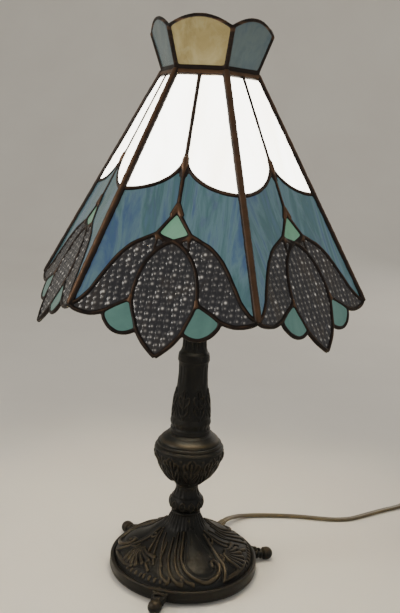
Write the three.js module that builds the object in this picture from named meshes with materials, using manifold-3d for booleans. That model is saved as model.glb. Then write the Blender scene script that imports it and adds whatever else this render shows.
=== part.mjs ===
// A stained glass table lamp: a six-panel leaded shade with a petal skirt and a flared crown,
// carried by a harp on a cast stem and a three-footed base.
// Millimetres, +Z up. The origin is on the table under the stem, and -Y is the lamp's front.

import * as THREE from 'three';
import { mergeVertices } from 'three/addons/utils/BufferGeometryUtils.js';
import Module from 'manifold-3d';

const wasm = await Module();
wasm.setup();

// ---------------------------------------------------------------- driving dimensions

const GAP = 0.3; // clearance between pieces that touch
const TURN = 2 * Math.PI;

// Stem, from the table up
const PIPE_R = 5.15; // threaded lamp pipe
const PIPE_BORE = 3.6;
const RIM_R = 79.2; // base rim
const RIM_TOP = 16;
const RIM_BOTTOM = 3.5;
const BASE_H = 68.2;
const BASE_WALL = 4;
const BOSS_Z = 58; // underside of the boss that the nut pulls on
const BASE_TURN = THREE.MathUtils.degToRad(-3.4); // how far the base is turned under the shade
const FOOT_COUNT = 3;
const FOOT_REACH = 103;
const FOOT_W = 17;
const FOOT_BALL_R = 7.25;
const SPOOL_H = 28.7;
const URN_H = 45.1;
const URN_R = 36.5;
const URN_CAP_H = 13.3;
const COLUMN_H = 128.5;
const STEM_WALL = 4; // the column and the urn are cast hollow
const NECK_SHARE = 0.225; // base casting's neck, as a share of its rim
const NECK_CAVITY_R = NECK_SHARE * RIM_R - BASE_WALL;
const NUT_R = NECK_CAVITY_R - 4.3;
const NUT_H = 5.8;
const WASHER_R = NECK_CAVITY_R - 2.3;
const WASHER_T = 1.6;

// Harp, socket and bulb
const SADDLE_T = 1.5;
const SADDLE_W = 12;
const HARP_FOOT_X = 26; // from the axis to each leg
const HARP_POST_H = 8.7; // saddle post above the saddle's underside
const HARP_H = 220; // saddle's upper face to the harp's top
const HARP_LEG_H = 24; // straight part of each leg, where its sleeve slides
const HARP_BOW_X = 57; // widest half width
const WIRE_R = 1.9;
const TOP_PLATE_T = 3.6;
const SLEEVE_R = 3.6;
const SLEEVE_H = 14;
const SLEEVE_REST = 3.5; // sleeve's lower end above the saddle's upper face
const STUD_H = 11.4; // harp top to the spider's seat
const STUD_THREAD_R = 3.15;
const STUD_THREAD_H = 15;
const SOCKET_R = 16.7;
const SOCKET_H = 49;
const SOCKET_WALL = 1.2;
const SCREW_SHELL_R = 14.7;
const BULB_BASE_R = 12.9;
const BULB_BASE_H = 25.4;
const BULB_R = 30;
const BULB_H = 110.4; // contact tip to the top of the glass
const BULB_WALL = 1;
const KNOB_Z = 25; // switch shaft above the socket cap's underside
const KNOB_SHAFT_R = 2.4;

// Shade
const SIDES = 6;
const SECTOR = TURN / SIDES;
const SHADE_CORNER_R = 165;
const NECK_CORNER_R = 46.65;
const SHADE_RISE = 206.1; // bottom corners to the neck
const GLASS_T = 3;
const BEAD = 1; // the solder stands this far above each face of the glass
const LINE_W = 3.4; // solder line between two glasses
const RIB_W = 6.6; // solder rib between two panels
const NECK_BAND_OUT = 2.5; // the neck band's corners stand this far beyond the panels' corner lines
const NECK_BAND_H = 5;
const NECK_RAIL = 6; // neck line to the glass
const CROWN_CORNER_R = 59.5;
const CROWN_RISE = 34.5;
const CROWN_ARCH = 10.5; // each crown panel's top rises this far above its corners
const CROWN_RIB_W = 5;
const SPIDER_T = 2.4;
const SPIDER_HUB_R = 12;
const SPIDER_ARM_W = 6;
const FINIAL_H = 23.5;
const FINIAL_R = 8;

// Cord
const CORD_W = 7; // flat two-core cord
const CORD_T = 4;
const CORD_EXIT_TURN = THREE.MathUtils.degToRad(75);
const CORD_EXIT_Z = 9.3;
const RELIEF_END = 22; // strain relief's length outside the rim
const RELIEF_R = 4.9;
const RELIEF_BORE = 3.9;
const FLANGE_R = 7;
const FLANGE_T = 1.6;
const LEAD_R = 2.6; // the cord inside the lamp
const COIL_X = 303;
const COIL_Y = 259;
const COIL_OUTER = 48; // centre line of the outer turns
const COIL_COLUMNS = 3;
const COIL_LAYERS = 2;
const COIL_PITCH = 7.1;
const COIL_LEAVE = THREE.MathUtils.degToRad(-45); // where the plug's end leaves the coil
const TAIL_L = 36;
const TIE_TURN = THREE.MathUtils.degToRad(210);
const TIE_T = 1;
const TIE_W = 5;
const PLUG_L = 26;
const PLUG_W = 24;
const PLUG_H = 15;
const PLUG_RELIEF_L = 20;
const BLADE_L = 16.5;
const BLADE_W = 6.35;
const BLADE_T = 1.5;
const BLADE_SPACING = 12.7;

// ---------------------------------------------------------------- heights that follow

const SPOOL_Z = BASE_H + GAP;
const URN_Z = SPOOL_Z + SPOOL_H + GAP;
const URN_CAP_Z = URN_Z + URN_H + GAP;
const COLUMN_Z = URN_CAP_Z + URN_CAP_H + GAP;
const SADDLE_Z = COLUMN_Z + COLUMN_H + GAP;
const SADDLE_TOP = SADDLE_Z + SADDLE_T;
const SOCKET_Z = SADDLE_TOP + GAP;
const HARP_TOP = SADDLE_TOP + HARP_H;
const SPIDER_Z = HARP_TOP + GAP + STUD_H + GAP;
const NECK_Z = SPIDER_Z + SPIDER_T / 2;
const FINIAL_Z = SPIDER_Z + SPIDER_T + GAP;
const PIPE_HOLE = PIPE_R + GAP;
const WASHER_Z = BOSS_Z - GAP - WASHER_T;
const NUT_Z = WASHER_Z - GAP - NUT_H;
const PIPE_BOTTOM = NUT_Z - 3;
const PIPE_TOP = SOCKET_Z + 13;

// ---------------------------------------------------------------- materials

const MATERIALS = {
  bronze: { color: 0x2b221b, roughness: 0.5, metalness: 0.85 },
  solder: { color: 0x4a2c1e, roughness: 0.45, metalness: 0.7 },
  white_glass: { color: 0xf6f1e4, roughness: 0.25, metalness: 0 },
  blue_glass: { color: 0x4f86a0, roughness: 0.2, metalness: 0 },
  purple_glass: { color: 0x39324a, roughness: 0.3, metalness: 0 },
  cream_glass: { color: 0xcdbf96, roughness: 0.25, metalness: 0 },
  grey_glass: { color: 0x5f7f8f, roughness: 0.25, metalness: 0 },
  brass: { color: 0xb08d4a, roughness: 0.35, metalness: 0.9 },
  steel: { color: 0x9a9a98, roughness: 0.4, metalness: 0.9 },
  black_plastic: { color: 0x1b1a19, roughness: 0.45, metalness: 0 },
  porcelain: { color: 0xe9e4d8, roughness: 0.4, metalness: 0 },
  bulb_glass: { color: 0xfff2d0, roughness: 0.3, metalness: 0 },
  aluminium: { color: 0xc4c4c2, roughness: 0.35, metalness: 0.9 },
  gold_cord: { color: 0x8a6a35, roughness: 0.4, metalness: 0 },
};

const lamp = new THREE.Group();

function piece(name, material, geometry, parent = lamp) {
  const mesh = new THREE.Mesh(geometry, new THREE.MeshStandardMaterial(MATERIALS[material]));
  mesh.name = name;
  parent.add(mesh);
  return mesh;
}

// ---------------------------------------------------------------- shape helpers

// A turned solid about +Z. The profile runs [radius, height] with the material on its left.
function turned(profile, segments = 20) {
  const points = profile.map(([r, z]) => new THREE.Vector2(r, z));
  return new THREE.LatheGeometry(points, segments).rotateX(Math.PI / 2);
}

// A turned solid whose profile closes on itself, around a bore.
function turnedRing(profile, segments = 20) {
  return turned([...profile, profile[0]], segments);
}

// A smooth outline through a few points, as [radius, height] pairs.
function smooth(points, steps) {
  const curve = new THREE.SplineCurve(points.map(([r, z]) => new THREE.Vector2(r, z)));
  return curve.getPoints(steps).map((p) => [p.x, p.y]);
}

// A flat solid of a closed outline, from height low to height high.
function plate(outline, low, high, holes = []) {
  const shape = new THREE.Shape(outline.map(([x, y]) => new THREE.Vector2(x, y)));
  for (const hole of holes) {
    shape.holes.push(new THREE.Path(hole.map(([x, y]) => new THREE.Vector2(x, y))));
  }
  return new THREE.ExtrudeGeometry(shape, { depth: high - low, bevelEnabled: false }).translate(0, 0, low);
}

// A tube along a curve: the section's x lies along the curve's normal, its y across it.
function tube(curve, section, steps) {
  const shape = new THREE.Shape(section.map(([x, y]) => new THREE.Vector2(x, y)));
  return new THREE.ExtrudeGeometry(shape, { extrudePath: curve, steps });
}

function ellipse(rx, ry, sides) {
  const points = [];
  for (let i = 0; i < sides; i += 1) {
    const a = ((i + 0.5) * TURN) / sides;
    points.push([rx * Math.cos(a), ry * Math.sin(a)]);
  }
  return points;
}

function polygon(radius, sides, start = 0) {
  const points = [];
  for (let i = 0; i < sides; i += 1) {
    const a = start + (i * TURN) / sides;
    points.push([radius * Math.cos(a), radius * Math.sin(a)]);
  }
  return points;
}

// A rod of radius r from height low to height high, about +Z.
function rod(r, low, high, sides = 24) {
  return new THREE.CylinderGeometry(r, r, high - low, sides)
    .rotateX(Math.PI / 2)
    .translate(0, 0, (low + high) / 2);
}

// Moves a closed outline's edges inwards: each point is [x, y, distance of the edge it starts].
function inset(outline, extra = 0) {
  const count = outline.length;
  const edges = outline.map(([x, y, distance], i) => {
    const [nx, ny] = outline[(i + 1) % count];
    const length = Math.hypot(nx - x, ny - y);
    const normal = [-(ny - y) / length, (nx - x) / length];
    return { normal, offset: normal[0] * x + normal[1] * y + distance + extra };
  });
  return outline.map(([x, y], i) => {
    const a = edges[(i + count - 1) % count];
    const b = edges[i];
    const cross = a.normal[0] * b.normal[1] - a.normal[1] * b.normal[0];
    if (Math.abs(cross) < 0.02) {
      const move = b.offset - b.normal[0] * x - b.normal[1] * y;
      return [x + b.normal[0] * move, y + b.normal[1] * move];
    }
    return [
      (a.offset * b.normal[1] - b.offset * a.normal[1]) / cross,
      (b.offset * a.normal[0] - a.offset * b.normal[0]) / cross,
    ];
  });
}

// ---------------------------------------------------------------- booleans

function solid(geometry) {
  const bare = geometry.clone();
  bare.deleteAttribute('normal');
  bare.deleteAttribute('uv');
  const merged = mergeVertices(bare, 1e-4);
  const index = merged.index.array;
  const kept = [];
  for (let i = 0; i < index.length; i += 3) {
    const [a, b, c] = [index[i], index[i + 1], index[i + 2]];
    if (a !== b && b !== c && c !== a) {
      kept.push(a, b, c);
    }
  }
  return new wasm.Manifold(
    new wasm.Mesh({
      numProp: 3,
      vertProperties: new Float32Array(merged.attributes.position.array),
      triVerts: new Uint32Array(kept),
    }),
  );
}

function geometryOf(manifold) {
  const mesh = manifold.getMesh();
  const geometry = new THREE.BufferGeometry();
  geometry.setAttribute('position', new THREE.BufferAttribute(mesh.vertProperties, 3));
  geometry.setIndex(new THREE.BufferAttribute(mesh.triVerts, 1));
  geometry.computeVertexNormals();
  return geometry;
}

function join(...geometries) {
  return geometries.map(solid).reduce((whole, next) => whole.add(next));
}

// ---------------------------------------------------------------- shade: the panel's pattern

const neckApothem = NECK_CORNER_R * Math.cos(SECTOR / 2);
const shadeApothem = SHADE_CORNER_R * Math.cos(SECTOR / 2);
const crownApothem = CROWN_CORNER_R * Math.cos(SECTOR / 2);
const halfNeck = NECK_CORNER_R * Math.sin(SECTOR / 2);
const halfBottom = SHADE_CORNER_R * Math.sin(SECTOR / 2);
const panelSlant = Math.hypot(shadeApothem - neckApothem, SHADE_RISE);
const panelPitch = Math.atan2(SHADE_RISE, shadeApothem - neckApothem);
const crownSlant = Math.hypot(crownApothem - neckApothem, CROWN_RISE);
// The neck band's inner face covers the glass and its solder.
const bandInnerR = NECK_CORNER_R - (GLASS_T + BEAD + GAP) / Math.cos(SECTOR / 2);
const crownPitch = Math.atan2(CROWN_RISE, neckApothem - crownApothem);

// A point of the pattern: shares of the half width at the bottom and of the panel's slant.
function spot(side, down, distance = LINE_W / 2) {
  return [side * halfBottom, -down * panelSlant, distance];
}

function halfWidthAt(down) {
  return halfNeck + (halfBottom - halfNeck) * down;
}

const CUSP = 0.372; // where the two white scallops meet on the centre line
const WEB_LOW = 0.425; // solder fills the cusp down to here
const SCALLOP_LOW = 0.527; // where a scallop meets the corner rib
const TRIANGLE_TOP = 0.635;
const PETAL_TOP = [[0.158, 0.695], [0.41, 0.743], [0.594, 0.817], [0.739, 0.904], [0.873, 0.973]];
const CORNER = [1, 1.003];
const SKIRT_BEND = [0.8, 1.056]; // pulls the side petal's lower edge
const DROP_START = [0.606, 1.02];
const DROP_BENDS = [[0.582, 1.073], [0.412, 1.112]];
const DROP_END = [0.248, 1.077];
const TIP_BEND = [0.152, 1.123];
const TIP = [0, 1.168];

// The white scallop on one side, from the centre line to the rib: a quarter of an ellipse.
function scallop(side) {
  const points = [];
  const steps = 5;
  const reach = halfWidthAt(SCALLOP_LOW) / halfBottom;
  for (let i = 0; i <= steps; i += 1) {
    const a = (i / steps) * (Math.PI / 2);
    const down = CUSP + (SCALLOP_LOW - CUSP) * Math.sin(a);
    points.push(spot(side * reach * (1 - Math.cos(a)), down));
  }
  return points;
}

// The petals' upper line on one side, from the triangle's top to the bottom corner.
function petalTop(side) {
  const curve = new THREE.SplineCurve([...PETAL_TOP, CORNER].map(([x, y]) => new THREE.Vector2(x, y)));
  const line = curve.getPoints(7).map((p) => spot(side * p.x, p.y));
  return [spot(0, TRIANGLE_TOP), ...line];
}

// The free lower edge on one side, from the bottom corner to the centre petal's tip.
function lowerEdge(side) {
  const at = ([x, y]) => new THREE.Vector2(x, y);
  const path = new THREE.CurvePath();
  path.add(new THREE.QuadraticBezierCurve(at(CORNER), at(SKIRT_BEND), at(DROP_START)));
  path.add(new THREE.CubicBezierCurve(at(DROP_START), ...DROP_BENDS.map(at), at(DROP_END)));
  path.add(new THREE.QuadraticBezierCurve(at(DROP_END), at(TIP_BEND), at(TIP)));
  return path.getPoints(4).map((p) => spot(side * p.x, p.y));
}

const mirrored = (points) => [...points].reverse();

// Each window of the panel, its outline running anticlockwise seen from outside.
const whiteWindow = [
  [-halfNeck, 0, RIB_W / 2],
  ...mirrored(scallop(-1)),
  ...scallop(1).slice(1, -1),
  [halfWidthAt(SCALLOP_LOW), -SCALLOP_LOW * panelSlant, RIB_W / 2],
  [halfNeck, 0, NECK_RAIL],
];

const blueWindow = [
  [-halfWidthAt(SCALLOP_LOW), -SCALLOP_LOW * panelSlant, RIB_W / 2],
  ...mirrored(petalTop(-1)),
  ...petalTop(1).slice(1, -1),
  [halfBottom, -CORNER[1] * panelSlant, RIB_W / 2],
  ...mirrored(scallop(1).slice(1)),
  spot(0, WEB_LOW),
  ...scallop(-1).slice(1, -1),
];

const flowerWindow = [
  ...petalTop(-1).slice(0, -1),
  ...lowerEdge(-1),
  ...mirrored(lowerEdge(1)).slice(1, -1),
  ...mirrored(petalTop(1)).slice(0, -1),
];

// The whole panel: its sides run past the mitre planes, which cut them.
const outwards = (distance) => ([x, y]) => [x, y, -distance];
const panelOutline = [
  [-halfNeck, 0, -RIB_W / 2],
  ...lowerEdge(-1).map(outwards(LINE_W / 2)),
  ...mirrored(lowerEdge(1)).slice(1, -1).map(outwards(LINE_W / 2)),
  [halfBottom, -CORNER[1] * panelSlant, -RIB_W / 2],
  [halfNeck, 0, 0],
];

// ---------------------------------------------------------------- shade: panels and crown

// The part of space that belongs to one side of the shade, less a gap to its neighbours.
function sector(gap, low, high) {
  const reach = 1.5 * SHADE_CORNER_R;
  const apex = gap / 2 / Math.sin(SECTOR / 2);
  const half = (reach - apex) * Math.tan(SECTOR / 2);
  return plate([[0, -apex], [-half, -reach], [half, -reach]], low, high);
}

// Places a flat pattern on a side of the shade: x across, y up the slope, z outwards.
function onSlope(pitch) {
  const matrix = new THREE.Matrix4().makeRotationX(pitch);
  return matrix.setPosition(0, -neckApothem, NECK_Z);
}

function panelFrame() {
  const windows = [whiteWindow, blueWindow, flowerWindow].map((outline) => inset(outline));
  const flat = plate(inset(panelOutline), -GLASS_T - BEAD, BEAD, windows.map((w) => w.reverse()));
  const top = NECK_Z - NECK_BAND_H / 2 - GAP;
  const room = solid(sector(GAP, NECK_Z - 1.5 * SHADE_RISE, top));
  return geometryOf(solid(flat.applyMatrix4(onSlope(panelPitch))).intersect(room));
}

function glassFor(outline) {
  return plate(inset(outline, GAP), -GLASS_T, 0);
}

// A crown panel: straight sides that flare, and an arched top.
function crownOutline(side, bottom, edge) {
  const halfTop = CROWN_CORNER_R * Math.sin(SECTOR / 2);
  const corner = new THREE.Vector2(halfTop, crownSlant);
  const arch = new THREE.QuadraticBezierCurve(
    corner,
    new THREE.Vector2(0, crownSlant + 2 * CROWN_ARCH),
    new THREE.Vector2(-halfTop, crownSlant),
  );
  const top = arch.getPoints(6).map((p) => [p.x, p.y, edge]);
  top[top.length - 1][2] = side;
  return [[-halfNeck, 0, bottom], [halfNeck, 0, side], ...top];
}

function crownFrame() {
  const window = inset(crownOutline(CROWN_RIB_W / 2, NECK_BAND_H, LINE_W)).reverse();
  const outline = inset(crownOutline(-CROWN_RIB_W, 0, 0));
  const flat = plate(outline, -GLASS_T - BEAD, BEAD, [window]).applyMatrix4(onSlope(crownPitch));
  const overlap = -0.1;
  const room = solid(sector(overlap, NECK_Z - NECK_BAND_H / 2, NECK_Z + 2 * CROWN_RISE));
  const side = solid(flat).intersect(room);
  const outer = polygon(NECK_CORNER_R + NECK_BAND_OUT, SIDES);
  const inner = polygon(bandInnerR, SIDES);
  const low = NECK_Z - NECK_BAND_H / 2;
  let crown = solid(plate(outer, low, low + NECK_BAND_H, [inner.reverse()]));
  for (let i = 0; i < SIDES; i += 1) {
    crown = crown.add(side.rotate([0, 0, (i * 360) / SIDES]));
  }
  return geometryOf(crown);
}

const shade = new THREE.Group();
lamp.add(shade);
const frameShape = panelFrame();

for (let i = 0; i < SIDES; i += 1) {
  const number = i + 1;
  const side = new THREE.Group();
  side.rotation.z = i * SECTOR;
  shade.add(side);
  piece(`panel_frame_${number}`, 'solder', frameShape.clone(), side);

  const slope = new THREE.Group();
  slope.position.set(0, -neckApothem, NECK_Z);
  slope.rotation.x = panelPitch;
  side.add(slope);
  piece(`white_glass_${number}`, 'white_glass', glassFor(whiteWindow), slope);
  piece(`blue_glass_${number}`, 'blue_glass', glassFor(blueWindow), slope);
  piece(`flower_glass_${number}`, 'purple_glass', glassFor(flowerWindow), slope);

  const flare = new THREE.Group();
  flare.position.copy(slope.position);
  flare.rotation.x = crownPitch;
  side.add(flare);
  const crownGlass = glassFor(crownOutline(CROWN_RIB_W / 2, NECK_BAND_H, LINE_W));
  piece(`crown_glass_${number}`, i % 2 ? 'grey_glass' : 'cream_glass', crownGlass, flare);
}
piece('crown_frame', 'solder', crownFrame(), shade);

// The spider fills the neck: three arms from a hub to every other corner of the neck band.
function spider() {
  const low = SPIDER_Z;
  const high = SPIDER_Z + SPIDER_T;
  const reach = bandInnerR - GAP / Math.cos(SECTOR / 2);
  const half = SPIDER_ARM_W / 2;
  let whole = solid(rod(SPIDER_HUB_R, low, high, 32));
  for (let i = 0; i < SIDES; i += 2) {
    const arm = plate([[0, -half], [NECK_CORNER_R, -half], [NECK_CORNER_R, half], [0, half]], low, high);
    whole = whole.add(solid(arm.rotateZ(i * SECTOR + Math.PI)));
  }
  const inside = solid(plate(polygon(reach, SIDES), low - 1, high + 1));
  const bore = solid(rod(STUD_THREAD_R + GAP, low - 1, high + 1));
  return geometryOf(whole.intersect(inside).subtract(bore));
}
piece('shade_spider', 'brass', spider(), shade);

// The finial screws down on the stud through the spider's hub.
function finial() {
  const bore = STUD_THREAD_R + GAP;
  const boreTop = FINIAL_Z + STUD_THREAD_H;
  const neck = FINIAL_R * 0.55;
  const outside = smooth(
    [
      [FINIAL_R * 0.8, FINIAL_Z + 2],
      [neck, FINIAL_Z + FINIAL_H * 0.22],
      [FINIAL_R, FINIAL_Z + FINIAL_H * 0.5],
      [FINIAL_R * 0.75, FINIAL_Z + FINIAL_H * 0.8],
      [FINIAL_R * 0.25, FINIAL_Z + FINIAL_H * 0.93],
    ],
    9,
  );
  const profile = [[0, boreTop], [bore, boreTop], [bore, FINIAL_Z], [FINIAL_R * 0.8, FINIAL_Z]];
  return turned([...profile, ...outside, [0, FINIAL_Z + FINIAL_H]], 14);
}
piece('finial', 'brass', finial(), shade);

// ---------------------------------------------------------------- harp

function harp() {
  const foot = SADDLE_Z + HARP_POST_H + GAP;
  const wireTop = HARP_TOP - TOP_PLATE_T / 2 - 0.3;
  const rise = wireTop - foot;
  const half = [
    [HARP_FOOT_X, foot],
    [HARP_FOOT_X, foot + HARP_LEG_H],
    [HARP_FOOT_X, foot + HARP_LEG_H + 4],
    [HARP_BOW_X * 0.82, foot + 0.27 * rise],
    [HARP_BOW_X, foot + 0.5 * rise],
    [HARP_BOW_X * 0.87, foot + 0.74 * rise],
    [HARP_BOW_X * 0.53, foot + 0.92 * rise],
    [HARP_BOW_X * 0.32, foot + 0.983 * rise],
    [9, wireTop],
  ];
  const points = [
    ...half.map(([x, z]) => new THREE.Vector3(-x, 0, z)),
    ...[...half].reverse().map(([x, z]) => new THREE.Vector3(x, 0, z)),
  ];
  const curve = new THREE.CatmullRomCurve3(points, false, 'centripetal');
  const wire = tube(curve, ellipse(WIRE_R, WIRE_R, 6), 40);
  const top = rod(8, HARP_TOP - TOP_PLATE_T, HARP_TOP);
  const hole = solid(rod(2.5 + GAP, HARP_TOP - 2 * TOP_PLATE_T, HARP_TOP + 1));
  return geometryOf(join(wire, top).subtract(hole));
}
piece('harp', 'brass', harp());

// The stud swivels in the harp's top: a riveted shank below, a seat and a thread above.
function stud() {
  const shankR = 2.5;
  const rivet = HARP_TOP - TOP_PLATE_T - GAP;
  const shoulder = HARP_TOP + GAP;
  const seat = shoulder + STUD_H;
  return turned([
    [0, rivet - 2],
    [4, rivet - 2],
    [4.5, rivet],
    [shankR, rivet],
    [shankR, shoulder],
    [9, shoulder],
    [9, shoulder + 2],
    [5, shoulder + 3.5],
    [5, seat - 3],
    [7, seat - 1.5],
    [7, seat],
    [STUD_THREAD_R, seat],
    [STUD_THREAD_R, seat + STUD_THREAD_H],
    [0, seat + STUD_THREAD_H],
  ], 14);
}
piece('harp_stud', 'brass', stud());

for (const [name, side] of [['left', -1], ['right', 1]]) {
  const bore = WIRE_R + GAP;
  const low = SADDLE_TOP + SLEEVE_REST;
  const profile = [[bore, low], [SLEEVE_R, low], [SLEEVE_R, low + SLEEVE_H], [bore, low + SLEEVE_H]];
  const sleeve = piece(`harp_sleeve_${name}`, 'brass', turnedRing(profile, 16));
  sleeve.position.x = side * HARP_FOOT_X;
}

function saddle() {
  const end = HARP_FOOT_X + 3;
  const half = SADDLE_W / 2;
  const strip = plate([[-end, -half], [end, -half], [end, half], [-end, half]], SADDLE_Z, SADDLE_TOP);
  const post = (side) => {
    const pin = rod(WIRE_R, SADDLE_Z + 0.5, SADDLE_Z + HARP_POST_H, 12);
    return pin.translate(side * HARP_FOOT_X, 0, 0);
  };
  const hole = solid(rod(PIPE_HOLE, SADDLE_Z - 1, SADDLE_TOP + 1));
  return geometryOf(join(strip, post(-1), post(1)).subtract(hole));
}
piece('harp_saddle', 'brass', saddle());

// ---------------------------------------------------------------- socket and bulb

const capOuter = SOCKET_R + GAP + SOCKET_WALL;
const capTop = SOCKET_Z + 20;
const shellLow = SOCKET_Z + 16;
const shellTop = SOCKET_Z + 16 + SOCKET_H;
const coreTop = shellLow + 17;
const cupTop = coreTop + 23;
const knobAt = SOCKET_Z + KNOB_Z;
const knobHole = KNOB_SHAFT_R + GAP;

function socketCap() {
  const wall = 2;
  return turnedRing([
    [PIPE_HOLE, SOCKET_Z],
    [11, SOCKET_Z],
    [capOuter * 0.9, SOCKET_Z + 8],
    [capOuter, SOCKET_Z + 13],
    [capOuter, capTop],
    [capOuter - SOCKET_WALL, capTop],
    [capOuter - SOCKET_WALL, SOCKET_Z + 14],
    [capOuter * 0.9 - wall, SOCKET_Z + 10],
    [10, SOCKET_Z + 2.4],
    [PIPE_HOLE, SOCKET_Z + 2.4],
  ]);
}
piece('socket_cap', 'brass', socketCap());

// A round hole towards the front, for the switch's shaft.
function knobBore(from, to) {
  return solid(rod(knobHole, from, to, 16).rotateX(Math.PI / 2).translate(0, 0, knobAt));
}

function socketShell() {
  const inner = SOCKET_R - SOCKET_WALL;
  const shell = turnedRing([
    [inner, shellLow],
    [SOCKET_R, shellLow],
    [SOCKET_R, shellTop - 2],
    [SOCKET_R + 0.8, shellTop - 1],
    [SOCKET_R, shellTop],
    [inner, shellTop],
  ]);
  return geometryOf(solid(shell).subtract(knobBore(inner - 3, SOCKET_R + 3)));
}
piece('socket_shell', 'brass', socketShell());

// The porcelain body holds the switch; the screw shell above it takes the bulb.
function socketInterior() {
  const body = SOCKET_R - SOCKET_WALL - GAP;
  const thread = BULB_BASE_R + 2 * GAP;
  const core = turned([
    [0, shellLow],
    [body, shellLow],
    [body, coreTop],
    [SCREW_SHELL_R, coreTop],
    [SCREW_SHELL_R, cupTop],
    [thread, cupTop],
    [thread, coreTop + GAP],
    [0, coreTop + GAP],
  ]);
  return geometryOf(solid(core).subtract(knobBore(8, SOCKET_R)));
}
piece('socket_interior', 'porcelain', socketInterior());

function switchKnob() {
  const inside = 8 + GAP;
  const head = SOCKET_R + 6;
  return turned([
    [0, inside],
    [KNOB_SHAFT_R, inside],
    [KNOB_SHAFT_R, head],
    [4.5, head],
    [5.5, head + 3],
    [5, head + 10],
    [3.5, head + 11.5],
    [0, head + 11.5],
  ], 16).rotateX(Math.PI / 2);
}
piece('switch_knob', 'black_plastic', switchKnob()).position.z = knobAt;

const bulbZ = coreTop + 2 * GAP;
const bulbNeckR = BULB_BASE_R - 1;
const bulbSeat = bulbZ + BULB_BASE_H - 5;

function bulbBase() {
  const rim = bulbZ + BULB_BASE_H;
  return turned([
    [0, bulbZ],
    [4, bulbZ],
    [4.5, bulbZ + 1.2],
    [9, bulbZ + 3],
    [BULB_BASE_R, bulbZ + 5],
    [BULB_BASE_R, rim],
    [bulbNeckR + GAP, rim],
    [bulbNeckR + GAP, bulbSeat],
    [0, bulbSeat],
  ]);
}
piece('bulb_base', 'aluminium', bulbBase());

function bulbGlass() {
  const low = bulbSeat + GAP;
  const top = bulbZ + BULB_H;
  const centre = top - BULB_R;
  const shell = (offset) => {
    const neck = bulbNeckR - offset;
    const radius = BULB_R - offset;
    const shoulder = [radius * 0.86, centre - radius / 2];
    const sides = smooth([[neck, low], [neck, low + 7], [neck + 5, low + 22], shoulder], 5);
    const dome = [];
    for (let i = 0; i < 6; i += 1) {
      const a = THREE.MathUtils.lerp(-0.35, Math.PI / 2, i / 6);
      dome.push([radius * Math.cos(a), centre + radius * Math.sin(a)]);
    }
    return [...sides, ...dome, [0, centre + radius]];
  };
  return turned([...shell(BULB_WALL).reverse(), ...shell(0)], 18);
}
piece('bulb_glass', 'bulb_glass', bulbGlass());

// ---------------------------------------------------------------- stem

// A cast piece of the stem: an outline of [radius, share of its height] round the pipe's hole.
// The part of it between the two shares in hollow has a wall instead of being solid.
function stemPiece(name, low, height, outline, steps, hollow) {
  const points = outline.map(([r, share]) => [r, low + share * height]);
  const side = smooth(points, steps);
  const inside = [];
  if (hollow) {
    const [from, to] = hollow.map((share) => low + share * height);
    const wall = outline
      .filter(([r, share]) => share > hollow[0] && share < hollow[1] && r - STEM_WALL > PIPE_HOLE)
      .map(([r, share]) => [r - STEM_WALL, low + share * height])
      .reverse();
    const [first, last] = [wall[0], wall[wall.length - 1]];
    inside.push([PIPE_HOLE, to], [first[0], to], ...wall, [last[0], from], [PIPE_HOLE, from]);
  }
  return [name, [[PIPE_HOLE, low], ...side, [PIPE_HOLE, low + height], ...inside]];
}

const SPOOL_SHAPE = [
  [14.3, 0], [17.4, 0.16], [18.3, 0.31], [17.2, 0.46], [13.6, 0.64], [11.9, 0.88], [12.3, 1],
];
const URN_SHAPE = [[12.6, 0], [14, 0.08], [20, 0.17], [25, 0.29], [30.5, 0.48], [32.8, 0.63], [35.8, 0.76]];
const URN_LIP = [[URN_R, 0.87], [URN_R - 1, 0.98], [URN_R - 2.5, 1]];
const URN_CAP_SHAPE = [[URN_R - 2.6, 0], [URN_R - 3.5, 0.2], [29.5, 0.55], [23.5, 0.9], [21.5, 1]];
const COLUMN_SHAPE = [
  [21.2, 0], [20.8, 0.07], [21, 0.1], [19.6, 0.19], [18.6, 0.28], [16.9, 0.35], [15.2, 0.47],
  [15.1, 0.56], [16.4, 0.63], [14.9, 0.67], [12.4, 0.72], [11.9, 0.78], [12.8, 0.88], [15.5, 0.97], [15.5, 1],
];

const stem = [
  stemPiece('spool', SPOOL_Z, SPOOL_H, SPOOL_SHAPE, 10),
  stemPiece('urn', URN_Z, URN_H, [...URN_SHAPE, ...URN_LIP], 13, [0.12, 0.9]),
  stemPiece('urn_cap', URN_CAP_Z, URN_CAP_H, URN_CAP_SHAPE, 6),
  stemPiece('column', COLUMN_Z, COLUMN_H, COLUMN_SHAPE, 20, [0.04, 0.95]),
];
for (const [name, profile] of stem) {
  piece(name, 'bronze', turnedRing(profile));
}

const pipeLow = [[PIPE_BORE, PIPE_BOTTOM], [PIPE_R, PIPE_BOTTOM]];
const pipeHigh = [[PIPE_R, PIPE_TOP], [PIPE_BORE, PIPE_TOP]];
piece('lamp_pipe', 'steel', turnedRing([...pipeLow, ...pipeHigh], 16));

const washer = [[PIPE_HOLE, WASHER_Z], [WASHER_R, WASHER_Z]];
const washerTop = [[WASHER_R, WASHER_Z + WASHER_T], [PIPE_HOLE, WASHER_Z + WASHER_T]];
piece('base_washer', 'steel', turnedRing([...washer, ...washerTop]));
const nutHole = polygon(PIPE_HOLE, 24).reverse();
piece('base_nut', 'steel', plate(polygon(NUT_R, 6), NUT_Z, NUT_Z + NUT_H, [nutHole]));

// ---------------------------------------------------------------- base

// The base's upper surface, from the rim to the neck, as shares of the rim's radius and height.
const BASE_SHAPE = [
  [0.922, 0.271], [0.82, 0.367], [0.694, 0.44], [0.564, 0.506], [0.404, 0.638], [0.288, 0.748],
  [NECK_SHARE, 0.865], [0.197, 0.938], [0.186, 1],
];
const relief = { x: Math.cos(CORD_EXIT_TURN), y: Math.sin(CORD_EXIT_TURN) };

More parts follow.
